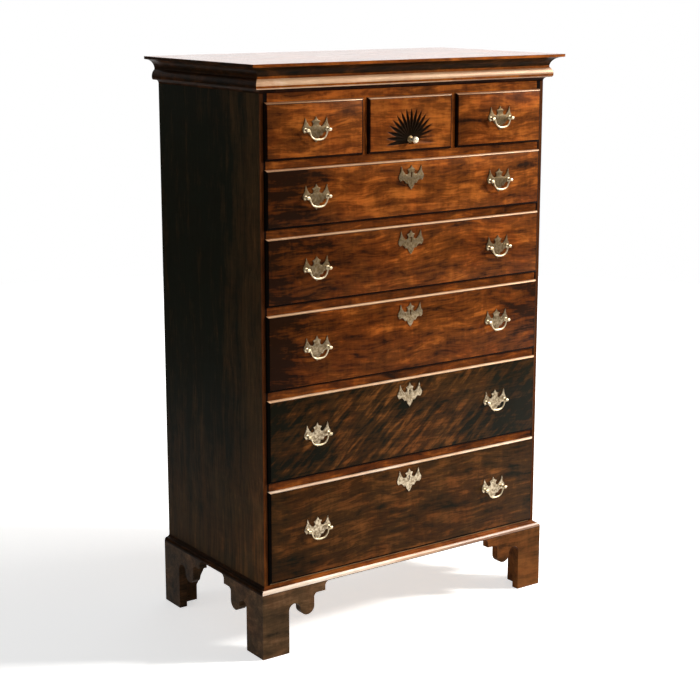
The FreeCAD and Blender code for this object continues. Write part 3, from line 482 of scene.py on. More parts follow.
    def boards(self, graph: Graph, point: bpy.types.NodeSocket) -> bpy.types.NodeSocket:
        """Coordinates that start anew in each board of a joined sheet.

        Args:
            graph: The material's nodes.
            point: The sorted coordinates.

        Returns:
            The coordinates.
        """
        if not self.joints:
            return point
        parts = graph.add("SeparateXYZ")
        graph.plug(parts, 0, point)
        number = graph.math("GREATER_THAN", parts.outputs[1], self.joints[0])
        for height in self.joints[1:]:
            number = graph.math("ADD", number, graph.math("GREATER_THAN", parts.outputs[1], height))
        jump = graph.add("CombineXYZ")
        along, through = BOARD_JUMP
        graph.plug(jump, 0, graph.math("MULTIPLY", number, along))
        graph.plug(jump, 2, graph.math("MULTIPLY", number, through))
        moved = graph.add("VectorMath", operation="ADD")
        graph.plug(moved, 0, point)
        graph.plug(moved, 1, jump.outputs[0])
        return moved.outputs[0]

    def dimmed(self, name: str, share: float) -> "Wood":
        """The same wood, darkened as painted shade, with little shine.

        Args:
            name: The new material's name.
            share: How much of its colour is left.

        Returns:
            The wood.
        """
        dark, middle, light = (
            tuple(part * share for part in stop) for stop in (self.dark, self.middle, self.light)
        )
        return replace(self, name=name, dark=dark, middle=middle, light=light, shine=PAINTED_SHADE_SHINE)

    @staticmethod
    def wandering(graph: Graph, board: bpy.types.NodeSocket) -> bpy.types.NodeSocket:
        """Coordinates that sway slowly across the grain.

        Args:
            graph: The material's nodes.
            board: The sorted coordinates.

        Returns:
            The swaying coordinates.
        """
        wander = graph.add("VectorMath", operation="MULTIPLY_ADD")
        graph.plug(wander, 0, graph.noise(board, 3.0, 2.0).outputs["Color"])
        graph.plug(wander, 1, (0.0, 0.07, 0.07))
        graph.plug(wander, 2, board)
        return wander.outputs[0]

    def curled(self, graph: Graph, board: bpy.types.NodeSocket) -> bpy.types.NodeSocket:
        """Fine slanting stripes across the grain, stronger in some places than in others.

        Args:
            graph: The material's nodes.
            board: The sorted coordinates.

        Returns:
            The stripes about nought.
        """
        turned = graph.mapped(graph.mapped(board, turn=(0.0, 0.0, -0.7)), (13.0, 78.0, 20.0))
        stripes = graph.noise(turned, 1.0, 2.0, 0.5, 0.5).outputs[0]
        where = graph.noise(board, 5.0, 1.0).outputs[0]
        share = graph.spread(where, 0.35, 0.65, 0.35, 1.0)
        return graph.math("MULTIPLY", graph.centred(stripes, self.curl), share)

    @staticmethod
    def stained(
        graph: Graph, value: bpy.types.NodeSocket, colours: tuple[Colour, Colour, Colour]
    ) -> bpy.types.NodeSocket:
        """The colour of the wood between its darkest and its lightest."""
        return graph.ramp(value, tuple(zip(STAIN_PLACES, colours)))

    @staticmethod
    def hollow_shade(graph: Graph) -> bpy.types.NodeSocket:
        """How much painted shade darkens the carving's hollows, by their depth."""
        depth = graph.add("Attribute", attribute_name="carved")
        return graph.spread(depth.outputs["Fac"], 0.0001, 0.0011, 0.0, 0.97)


@dataclass(frozen=True)
class Metal:
    """Cast metal with a worn skin, which can be dulled towards the top as painted shade."""

    name: str
    bright: Colour
    dull: Colour
    gloss: float = 0.36
    least_wear: float = 0.4
    # The share of bright metal left at the top, where the metal is dulled as painted shade.
    top_shade_level: float = 1.0
    relief: float = 0.00012

    def material(self) -> bpy.types.Material:
        """The metal as a material.

        Returns:
            The material.
        """
        graph = Graph(bpy.data.materials.new(self.name))
        point = graph.object_point()
        cloud = graph.noise(point, 160.0, 4.0, 0.65).outputs[0]
        pits = graph.noise(point, 900.0, 2.0).outputs[0]
        height = graph.add("SeparateXYZ")
        graph.plug(height, 0, point)
        # Above 0.3 m the bright metal gives way to the dull as painted shade, down to the share given for
        # the top.
        level = graph.spread(height.outputs["Z"], 0.3, 1.0, 1.0, self.top_shade_level)
        wear_and_shade = graph.math("MULTIPLY", graph.spread(cloud, 0.36, 0.64, self.least_wear, 1.0), level)
        colour = graph.blend(wear_and_shade, self.dull, self.bright)
        rough = graph.spread(cloud, 0.3, 0.65, self.gloss + 0.16, self.gloss)
        return graph.close(
            Base_Color=colour,
            Metallic=1.0,
            Roughness=rough,
            Normal=graph.bump(graph.math("ADD", cloud, pits), self.relief, 0.25),
        )


CHERRY = Wood(
    "cherry", (0.016, 0.0058, 0.0020), (0.130, 0.034, 0.0058), (0.38, 0.108, 0.0160), shine=0.025
)
BROWN_CHERRY = Wood(
    "brown_cherry", (0.007, 0.0070, 0.0036), (0.048, 0.0200, 0.0058), (0.165, 0.058, 0.0145), shine=0.025
)
FOOT_CHERRY = Wood(
    "foot_cherry", (0.011, 0.0095, 0.0055), (0.080, 0.0440, 0.0205), (0.200, 0.1050, 0.0500), shine=0.025
)
# The left side's board: a darker copy of the side's cherry that stands for the shade it lies in, darker
# still towards the top and the back as painted shade; its front edge has a stain of its own.
SHADED_SIDE_CHERRY = Wood(
    "shaded_side_cherry",
    (0.007, 0.0076, 0.0040),
    (0.050, 0.0270, 0.0098),
    (0.170, 0.0720, 0.0215),
    grain=Grain.ALONG_Z,
    bands=0.7,
    clouds=0.45,
    mottle=0.3,
    ripple=0.15,
    gloss=0.45,
    shine=0.02,
    tone=0.16,
    fades=(Fade(0, 0.1, 0.7, 0.3), Fade(2, -0.23, 0.02, 0.24)),
    front_stop=((0.012, 0.0050, 0.0020), (0.075, 0.0220, 0.0050), (0.20, 0.062, 0.0120)),
)
# The right side's board: the same cherry in lighter colours.
RED_SIDE = replace(
    SHADED_SIDE_CHERRY,
    name="red_side",
    dark=(0.014, 0.0070, 0.0032),
    middle=(0.075, 0.0270, 0.0085),
    light=(0.200, 0.0680, 0.0180),
    bands=0.5,
    streaks=0.3,
    tone=-0.02,
    fades=(Fade(0, 0.3, 1.3, 0.1),),
)
POLISHED = {"shine": 1.0, "tint": (1.0, 0.68, 0.44), "gloss": 0.38}
# A pale, polished stain that paints a highlight on rounded edges.
PAINTED_HIGHLIGHT_EDGE = Wood(
    "painted_highlight_edge",
    (0.17, 0.070, 0.024),
    (0.46, 0.280, 0.155),
    (0.84, 0.720, 0.600),
    bands=0.2,
    clouds=0.3,
    mottle=0.25,
    ripple=0.1,
    **POLISHED,
)
CROWN = replace(
    CHERRY,
    name="crown",
    shift=(0.1, 0.0, 0.4),
    bands=0.6,
    clouds=0.45,
    mottle=0.35,
    shine=0.6,
    tint=(1.0, 0.95, 0.91),
    gloss=0.25,
)
PINE = Wood(
    "pine",
    (0.19, 0.095, 0.038),
    (0.41, 0.250, 0.115),
    (0.60, 0.420, 0.220),
    bands=0.8,
    clouds=0.5,
    mottle=0.2,
    ripple=0.0,
    streaks=0.8,
    warmth=0.2,
    gloss=0.7,
    shine=0.2,
)
# Each front has its own figure and tone. The fades darken their ends, the left one most, and the two lowest
# rows take the darker brown cherry: partly the wood's own colour, partly painted shade where the light
# falls off towards the lower left.
DRAWER_WOODS = {
    "drawer_1_left": replace(
        CHERRY, shift=(0.3, 0.9, 0.0), tone=0.03, fades=(Fade(0, -0.33, -0.44, 0.12),)
    ),
    "drawer_1_middle": replace(CHERRY, shift=(1.2, 0.5, 0.1), tone=0.04, shaded_hollows=True, mottle=0.7),
    "drawer_1_right": replace(CHERRY, shift=(1.9, 0.4, 0.3), tone=-0.02),
    "drawer_2": replace(
        CHERRY,
        shift=(2.2, 0.2, 0.6),
        tone=0.03,
        fades=(Fade(0, -0.18, -0.4, 0.42), Fade(0, 0.1, 0.44, 0.12)),
    ),
    "drawer_3": replace(
        CHERRY, shift=(3.1, 1.2, 0.2), tone=-0.085, fades=(Fade(0, -0.1, -0.44, 0.22),)
    ),
    "drawer_4": replace(
        CHERRY,
        shift=(4.3, 0.6, 0.9),
        tone=-0.085,
        fades=(Fade(0, -0.28, -0.44, 0.35), Fade(0, 0.2, 0.44, 0.15)),
    ),
    "drawer_5": replace(
        BROWN_CHERRY,
        shift=(5.2, 0.3, 0.4),
        tone=-0.05,
        curl=1.7,
        mottle=0.8,
        fades=(Fade(0, -0.15, -0.44, 0.25), Fade(0, 0.1, 0.4, 0.25)),
    ),
    "drawer_6": replace(
        BROWN_CHERRY,
        shift=(6.4, 1.1, 0.8),
        fades=(Fade(0, -0.2, -0.44, 0.12), Fade(0, 0.2, 0.44, 0.12)),
    ),
}
ANTIQUE_BRASS = Metal("antique_brass", (0.66, 0.55, 0.37), (0.20, 0.14, 0.065), gloss=0.28)
# The plates dull strongly towards the top as painted shade; their bright patches are worn metal.
PLATE_BRASS = Metal(
    "plate_brass", (0.54, 0.45, 0.32), (0.085, 0.048, 0.013), least_wear=0.25, top_shade_level=0.22
)


# ---------------------------------------------------------------------------------------------
# Making and placing pieces
# ---------------------------------------------------------------------------------------------


class Piece:
    """A mesh in the making, in millimetres about its own middle, until it is set in its place."""

    def __init__(self) -> None:
        """Starts with nothing in it."""
        self.mesh = bmesh.new()

    def take(self, source: bmesh.types.BMesh, at: Vector) -> None:
        """Adds another mesh at a place, and frees it.

        Args:
            source: The other mesh, in millimetres.
            at: Its place, in millimetres.
        """
        bmesh.ops.translate(source, vec=at, verts=source.verts)
        copy = bpy.data.meshes.new("part")
        source.to_mesh(copy)
        source.free()
        self.mesh.from_mesh(copy)
        bpy.data.meshes.remove(copy)

    def set_down(
        self, name: str, body: str, slot: str, node: str, smooth: float, *finishes: bpy.types.Material
    ) -> bpy.types.Object:
        """Makes the piece an object that rides on a body and stands for a node.

        Args:
            name: The object's name.
            body: The body that carries it.
            slot: The name of its finish's slot; not used.
            node: The node it stands for.
            smooth: The angle in degrees up to which its edges are shaded smooth.
            *finishes: Its materials.

        Returns:
            The object.
        """
        bmesh.ops.recalc_face_normals(self.mesh, faces=self.mesh.faces)
        bmesh.ops.scale(self.mesh, vec=(MM, MM, MM), verts=self.mesh.verts)
        limit = math.radians(smooth)
        for face in self.mesh.faces:
            face.smooth = True
        for edge in self.mesh.edges:
            edge.smooth = len(edge.link_faces) == 2 and edge.calc_face_angle(math.pi) < limit
        data = bpy.data.meshes.new(name)
        self.mesh.to_mesh(data)
        self.mesh.free()
        for finish in finishes:
            data.materials.append(finish)
        piece = bpy.data.objects.new(name, data)
        bpy.context.scene.collection.objects.link(piece)
        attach(piece, body)
        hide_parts(node)
        LOG.info("%s rides on %s: %d faces", name, body, len(data.polygons))
        return piece


def spun(profile: Sequence[Point], axis: Vector, steps: int) -> bmesh.types.BMesh:
    """A turned shape.

    Args:
        profile: Pairs of distance along the axis and radius.
        axis: The axis it is turned about, X or Y.
        steps: How many faces go round it.

    Returns:
        The closed mesh.
    """
    shape = bmesh.new()
    across = Vector((0.0, 0.0, 1.0))
    points = [shape.verts.new(axis * along + across * radius) for along, radius in profile]
    for first, second in zip(points, points[1:]):
        shape.edges.new((first, second))
    bmesh.ops.spin(
        shape,
        geom=shape.verts[:] + shape.edges[:],
        axis=axis,
        cent=ORIGIN,
        angle=math.tau,
        steps=steps,
        use_merge=True,
    )
    bmesh.ops.remove_doubles(shape, verts=shape.verts, dist=1e-4)
    return shape


def soften_edges(
    shape: bmesh.types.BMesh, edges: list[bmesh.types.BMEdge], width: float, segments: int
) -> None:
    """Rounds edges of a mesh.

    Args:
        shape: The mesh.
        edges: The edges.
        width: How far the rounding reaches from each edge.
        segments: How many faces it has across.
    """
    bmesh.ops.bevel(
        shape, geom=edges, offset=width, segments=segments, affect="EDGES", profile=0.5, material=-1
    )


def softened_block(size: Triple, soften: float) -> bmesh.types.BMesh:
    """A block with softened edges, about its middle.

    Args:
        size: Its three sizes.
        soften: The width of the softened edges.

    Returns:
        The mesh.
    """
    shape = bmesh.new()
    bmesh.ops.create_cube(shape, size=1.0)
    bmesh.ops.scale(shape, vec=size, verts=shape.verts)
    soften_edges(shape, shape.edges[:], soften, 2)
    return shape


def surface(curve: bpy.types.Curve) -> bmesh.types.BMesh:
    """The surface of a curve, which is used up.

    Args:
        curve: The curve.

    Returns:
        The closed mesh.
    """
    holder = bpy.data.objects.new(curve.name, curve)
    data = bpy.data.meshes.new_from_object(holder)
    shape = bmesh.new()
    shape.from_mesh(data)
    bpy.data.objects.remove(holder)
    bpy.data.curves.remove(curve)
    bpy.data.meshes.remove(data)
    bmesh.ops.remove_doubles(shape, verts=shape.verts, dist=1e-3)
    return shape


def cut_sheet(lines: list[list[CutPoint]], thick: float, edge: float) -> bmesh.types.BMesh:
    """A sheet of metal cut to smooth lines, with filed edges, its back on Y = 0.

    Args:
        lines: The outline and any holes, as points with the way the line passes them.
        thick: The sheet's thickness.
        edge: The width of its filed edge.

    Returns:
        The mesh.
    """
    curve = bpy.data.curves.new("sheet", "CURVE")
    curve.dimensions = "2D"
    curve.fill_mode = "BOTH"
    curve.extrude = thick / 2 - edge
    curve.bevel_depth = edge
    curve.bevel_resolution = 2
    curve.offset = -edge
    curve.resolution_u = 7
    for line in lines:
        spline = curve.splines.new("BEZIER")
        spline.bezier_points.add(len(line) - 1)
        spline.use_cyclic_u = True
        for point, (x, z, corner) in zip(spline.bezier_points, line):
            point.co = (x, z, 0.0)
            point.handle_left_type = corner.value
            point.handle_right_type = corner.value
    shape = surface(curve)
    stand = Matrix.Rotation(math.radians(90.0), 3, "X")
    bmesh.ops.rotate(shape, cent=ORIGIN, matrix=stand, verts=shape.verts)
    bmesh.ops.translate(shape, vec=(0.0, -thick / 2, 0.0), verts=shape.verts)
    return shape


# ---------------------------------------------------------------------------------------------
# Brasses
# ---------------------------------------------------------------------------------------------


@dataclass
class Plate:
    """The scalloped plate behind a pull or round a keyhole."""

    thick: float = 2.0
    edge: float = 0.5
    right_half: tuple[CutPoint, ...] = (
        (0.0, 31.5, Corner.TIP),
        (4.6, 24.0, Corner.ROUND),
        (12.0, 20.5, Corner.TIP),
        (8.6, 13.0, Corner.ROUND),
        (14.3, 7.5, Corner.ROUND),
        (23.0, 13.5, Corner.ROUND),
        (31.0, 29.5, Corner.TIP),
        (34.0, 15.0, Corner.ROUND),
        (39.5, 2.0, Corner.ROUND),
        (34.5, -8.0, Corner.TIP),
        (24.5, -6.5, Corner.ROUND),
        (16.5, -15.0, Corner.TIP),
        (10.8, -15.0, Corner.ROUND),
        (7.5, -21.5, Corner.ROUND),
        (0.0, -31.0, Corner.TIP),
    )

    def outline(self) -> list[CutPoint]:
        """The whole line, down the right and up the left."""
        left = [(-x, z, corner) for x, z, corner in reversed(self.right_half[1:-1])]
        return list(self.right_half) + left

    def sheet(self, hole: list[CutPoint] | None = None) -> bmesh.types.BMesh:
        """The plate, with a hole if one is given.

        Args:
            hole: The hole's line.

        Returns:
            The mesh.
        """
        return cut_sheet([self.outline()] + ([hole] if hole else []), self.thick, self.edge)


@dataclass
class Post:
    """A post that holds one end of a bail, and the nut on its inner end."""

    plate: float = 2.0
    spacing: float = 63.5
    reach: float = 11.0
    head: float = 4.4
    eye: float = 2.5
    shank: float = 5.0
    nut: float = 12.0
    nut_thick: float = 4.0
    through: float = 22.0
    past: float = 2.0
    neck: tuple[Point, ...] = ((0.02, 0.0), (0.02, 5.2), (1.2, 5.2), (2.0, 4.2), (3.2, 3.0))

    def build(self, piece: Piece, x: float, face: float, z: float) -> None:
        """Adds the post and its nut.

        Args:
            piece: The piece it becomes part of.
            x: Its place across the front.
            face: The front's face.
            z: Its height.
        """
        seat = face - self.plate
        pivot = seat - self.reach
        half = self.head * 0.92
        ring = (
            (-half, self.eye),
            (-half, self.head - 0.9),
            (-half + 0.9, self.head - 0.1),
            (0.0, self.head),
            (half - 0.9, self.head - 0.1),
            (half, self.head - 0.9),
            (half, self.eye),
            (-half, self.eye),
        )
        piece.take(spun(ring, X_AXIS, 20), Vector((x, pivot, z)))
        neck_end = pivot + self.head - 0.6
        neck = [(seat - out, radius) for out, radius in self.neck] + [(neck_end, 3.3), (neck_end, 0.0)]
        piece.take(spun(neck, Y_AXIS, 20), Vector((x, 0.0, z)))
        inner = face + self.through
        long = self.nut_thick + self.past
        shank = softened_block((self.shank, long, self.shank), 0.4)
        piece.take(shank, Vector((x, inner + long / 2, z)))
        nut = softened_block((self.nut, self.nut_thick, self.nut), 0.8)
        piece.take(nut, Vector((x, inner + self.nut_thick / 2, z)))


@dataclass
class Bail:
    """A cast bail, thicker in the middle of its bar."""

    radius: float = 2.0
    line: tuple[Triple, ...] = (
        (37.2, 0.0, 1.0),
        (29.5, 0.0, 1.0),
        (25.8, -2.4, 0.95),
        (23.8, -8.0, 0.85),
        (20.6, -14.6, 0.9),
        (15.2, -19.8, 1.0),
        (8.0, -22.3, 1.15),
        (0.0, -22.9, 1.3),
    )

    def build(self, name: str, pivot: Vector, material: bpy.types.Material) -> bpy.types.Object:
        """Makes one bail.

        Args:
            name: The name of its node and of its body.
            pivot: The middle of its hinge line.
            material: The brass.

        Returns:
            The piece.
        """
        curve = bpy.data.curves.new("bail", "CURVE")
        curve.dimensions = "3D"
        curve.bevel_depth = self.radius
        curve.bevel_resolution = 5
        curve.resolution_u = 6
        curve.use_fill_caps = True
        points = [(-x, z, size) for x, z, size in self.line] + list(reversed(self.line[:-1]))
        spline = curve.splines.new("BEZIER")
        spline.bezier_points.add(len(points) - 1)
        for point, (x, z, size) in zip(spline.bezier_points, points):
            point.co = (x, 0.0, z)
            point.radius = size
            point.handle_left_type = "AUTO"
            point.handle_right_type = "AUTO"
        piece = Piece()
        piece.take(surface(curve), pivot)
        return piece.set_down(f"{name}_rod", name, "old_brass", name, 40.0, material)


@dataclass
class Knob:
    """The turned knob in the middle of the fan."""

    reach: float = 16.0
    ball: float = 8.5
    floor: float = 5.0
    through: float = 22.0
    rose: tuple[Point, ...] = (
        (0.0, 0.0),
        (0.0, 8.8),
        (1.0, 8.8),
        (1.9, 7.6),
        (2.4, 5.6),
        (3.6, 4.0),
        (7.0, 3.1),
        (10.0, 3.2),
    )
    end: tuple[Point, ...] = ((0.0, 0.0), (0.0, 3.0), (1.4, 3.0), (2.0, 2.2), (2.0, 0.0))

    def build(self, piece: Piece, face: float, z: float) -> None:
        """Adds the knob.

        Args:
            piece: The piece it becomes part of.
            face: The front's face.
            z: Its height.
        """
        seat = face + self.floor
        middle = face - self.reach
        profile = [(seat - out, radius) for out, radius in self.rose]
        for step in range(1, 12):
            angle = math.radians(24.0 + 14.0 * step)
            profile.append((middle + self.ball * math.cos(angle), self.ball * math.sin(angle)))
        profile.append((middle - self.ball, 0.0))
        piece.take(spun(profile, Y_AXIS, 32), Vector((0.0, 0.0, z)))
        inner = face + self.through
        end = [(inner + past, radius) for past, radius in self.end]
        piece.take(spun(end, Y_AXIS, 16), Vector((0.0, 0.0, z)))


@dataclass
class Lock:
    """A box lock let into the back of a drawer front."""

    wide: float = 60.0
    high: float = 42.0
    thick: float = 9.0
    keyhole_drop: float = 34.0
    keyhole_up: float = 11.0
    eye: float = 2.6
    slot: float = 1.4
    long: float = 11.0
    play: float = 0.1

    def keyhole(self) -> list[CutPoint]:
        """The keyhole's line on its plate: a round eye over a slot.

        Returns:
            The line.
        """
        top = self.keyhole_up
        low = top - self.long
        join = top - self.eye * 0.8
        return [
            (0.0, top + self.eye, Corner.ROUND),
            (-self.eye, top, Corner.ROUND),
            (-self.slot, join, Corner.TIP),
            (-self.slot * 1.15, low, Corner.TIP),
            (self.slot * 1.15, low, Corner.TIP),
            (self.slot, join, Corner.TIP),
            (self.eye, top, Corner.ROUND),
        ]

    def build(self, piece: Piece, back: float, top: float) -> None:
        """Adds the lock's case.

        Args:
            piece: The piece it becomes part of.
            back: The back face of the drawer front.
            top: The top of the drawer front's body.
        """
        size = (self.wide - 2 * self.play, self.thick - self.play, self.high - 2 * self.play)
        case = softened_block(size, 0.5)
        piece.take(case, Vector((0.0, back - self.thick / 2, top - self.high / 2)))


@dataclass
class Brasses:
    """All the metal on the drawers."""

    finish: Metal
    plates: Metal
    front_face: float = -230.5
    front_back: float = -208.5
    outer: float = 288.0
    lip: float = 5.5
    fan_up: float = 30.0
    margin: float = 0.01

    def __post_init__(self) -> None:
        """Makes the materials of the cast pieces and of the plates."""
        self.cast = self.finish.material()
        self.sheet = self.plates.material()

    def drawer_work(self, row: int, drawer: str, pulls: tuple[float, ...]) -> None:
        """Makes one drawer's plates, posts, lock and bails.

        Args:
            row: The drawer's row, from the top.
            drawer: The drawer's name.
            pulls: Where its pulls are across the front.
        """
        low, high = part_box(f"{drawer}_front")
        middle = (low.z + high.z) / 2 / MM
        plate, post, lock = Plate(), Post(), Lock()
        piece = Piece()
        for x in pulls:
            piece.take(plate.sheet(), Vector((x, self.front_face, middle)))
            for side in (-0.5, 0.5):
                post.build(piece, x + side * post.spacing, self.front_face, middle)
            side_name = "left" if x < 0 else "right"
            pivot = Vector((x, self.front_face - plate.thick - post.reach, middle))
            Bail().build(f"bail_{row}_{side_name}", pivot, self.cast)
        # Only the long drawers, which have two pulls, have a lock.
        if len(pulls) == 2:
            height = high.z / MM - lock.keyhole_drop - lock.keyhole_up
            piece.take(plate.sheet(lock.keyhole()), Vector((0.0, self.front_face, height)))
            lock.build(piece, self.front_back, high.z / MM - self.lip)
        node = f"{drawer}_brasses"
        work = piece.set_down(f"{drawer}_brasswork", drawer, "old_brass", node, 35.0, self.cast, self.sheet)
        for face in work.data.polygons:
            out = self.front_face - face.center.y / MM
            face.material_index = int(-self.margin < out < plate.thick + self.margin)

    def knob(self) -> None:
        """Makes the fan's knob and its rose."""
        low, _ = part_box("drawer_1_middle_front")
        piece = Piece()
        Knob().build(piece, self.front_face, low.z / MM + self.fan_up)
        worn = replace(self.finish, name="worn_brass", bright=(0.95, 0.84, 0.64), gloss=0.45).material()
        node = "drawer_1_middle_brasses"
        knob = piece.set_down("fan_knob", "drawer_1_middle", "old_brass", node, 35.0, worn, self.sheet)
        for face in knob.data.polygons:
            face.material_index = int(face.center.y / MM > self.front_face)

    def build(self) -> None:
        """Makes the metal of all eight drawers."""
        self.drawer_work(1, "drawer_1_left", (-self.outer,))
        self.drawer_work(1, "drawer_1_right", (self.outer,))
        for row in range(2, 7):
            self.drawer_work(row, f"drawer_{row}", (-self.outer, self.outer))
        self.knob()


# ---------------------------------------------------------------------------------------------
# Drawer fronts and mouldings
# ---------------------------------------------------------------------------------------------


@dataclass
class LippedFront:
    """A drawer front's outer face: a field over a thumbnail edge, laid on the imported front's back."""

    case_front: float = -222.5
    proud: float = 8.0
    stand: float = 0.3
    round_edge: float = 6.0
    step: float = 1.2
    ease: float = 0.35
    # The painted highlight on the top edge: its tone and how fast it dims with the front's height. Then the
    # share of colour that the painted shade leaves on the other edges, and how far up a face must look to
    # take the highlight.
    highlight_tone: float = 0.33
    highlight_tone_fall: float = 0.5
    edge_shade: float = 0.05
    upward: float = 0.25
    overlap: float = 0.02

    def back(self) -> float:
        """The plane behind the lip."""
        return self.case_front - self.stand

    def rear(self, node: str) -> bmesh.types.BMesh:
        """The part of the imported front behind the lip.

        Args:
            node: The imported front's node.

        Returns:
            The closed mesh, in millimetres.
        """
        body = bmesh.new()
        body.from_mesh(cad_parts[node].data)
        bmesh.ops.scale(body, vec=(1 / MM, 1 / MM, 1 / MM), verts=body.verts)
        bmesh.ops.remove_doubles(body, verts=body.verts, dist=1e-3)
        cut = bmesh.ops.bisect_plane(
            body,
            geom=body.verts[:] + body.edges[:] + body.faces[:],
            plane_co=(0.0, self.back() + self.overlap, 0.0),
            plane_no=(0.0, -1.0, 0.0),
            clear_outer=True,
        )
        rim = [item for item in cut["geom_cut"] if isinstance(item, bmesh.types.BMEdge)]
        bmesh.ops.triangle_fill(body, use_beauty=True, edges=rim)
        return body

    def slab(self, wide: float, high: float) -> bmesh.types.BMesh:
        """The plain front's outer part, about the middle of its back.

        Args:
            wide: Its width.
            high: Its height.

        Returns:
            The closed mesh.
        """
        depth = self.proud - self.stand - self.step
        shape = bmesh.new()
        bmesh.ops.create_cube(shape, size=1.0)
        bmesh.ops.scale(shape, vec=(wide, depth, high), verts=shape.verts)
        bmesh.ops.translate(shape, vec=(0.0, -depth / 2, 0.0), verts=shape.verts)
        outer = [edge for edge in shape.edges if all(vert.co.y < -depth / 2 for vert in edge.verts)]
        soften_edges(shape, outer, self.round_edge, 8)
        flat = min(shape.faces, key=lambda face: face.calc_center_median().y)
        raised = bmesh.ops.extrude_face_region(shape, geom=[flat])
        verts = [item for item in raised["geom"] if isinstance(item, bmesh.types.BMVert)]
        bmesh.ops.delete(shape, geom=[flat], context="FACES_ONLY")
        bmesh.ops.translate(shape, vec=(0.0, -self.step, 0.0), verts=verts)
        crest = [edge for edge in shape.edges if all(vert in verts for vert in edge.verts)]
        soften_edges(shape, crest, self.ease, 2)
        return shape

    def mark_edges(self, piece: bpy.types.Object, low: Vector, high: Vector) -> int:
        """Tells the rounded edge apart: a painted highlight along the top, and painted shade elsewhere.

        Args:
            piece: The finished front.
            low: The lower corner of its box.
            high: The upper corner of its box.

        Returns:
            How many faces the edge has.
        """
        crest = (self.case_front - self.proud + self.step) * MM
        count = 0
        for face in piece.data.polygons:
            at = face.center
            inset = min(at.x - low.x, high.x - at.x, at.z - low.z, high.z - at.z)
            if inset < self.round_edge * MM and crest - 1e-4 < at.y < self.back() * MM - 1e-5:
                # Upward faces take the painted highlight, and all others take the painted shade.
                face.material_index = 1 if face.normal.z > self.upward else 2
                count += 1
        return count

    def build(self, drawer: str, wood: Wood) -> None:
        """Makes one front.

        Args:
            drawer: The drawer's name.
            wood: The front's wood.
        """
        node = f"{drawer}_front"
        low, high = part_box(node)
        wide, tall = (high.x - low.x) / MM, (high.z - low.z) / MM
        middle = Vector(((low.x + high.x) / 2 / MM, self.back(), (low.z + high.z) / 2 / MM))
        piece = Piece()
        piece.take(self.slab(wide, tall), middle)
        piece.take(self.rear(node), Vector(ORIGIN))
        # The top edge's painted highlight dims on higher fronts; the other edges take a darkened copy as
        # painted shade.
        tone = self.highlight_tone - self.highlight_tone_fall * high.z
        highlight_finish = replace(PAINTED_HIGHLIGHT_EDGE, name=f"{drawer}_edge", shift=wood.shift, tone=tone)
        shade_finish = replace(wood, shaded_hollows=False).dimmed(f"{drawer}_wax", self.edge_shade)
        finishes = [finish.material() for finish in (wood, highlight_finish, shade_finish)]
        front = piece.set_down(f"{drawer}_face", drawer, "cherry", node, 35.0, *finishes)
        LOG.info("%d faces of its edge", self.mark_edges(front, low, high))


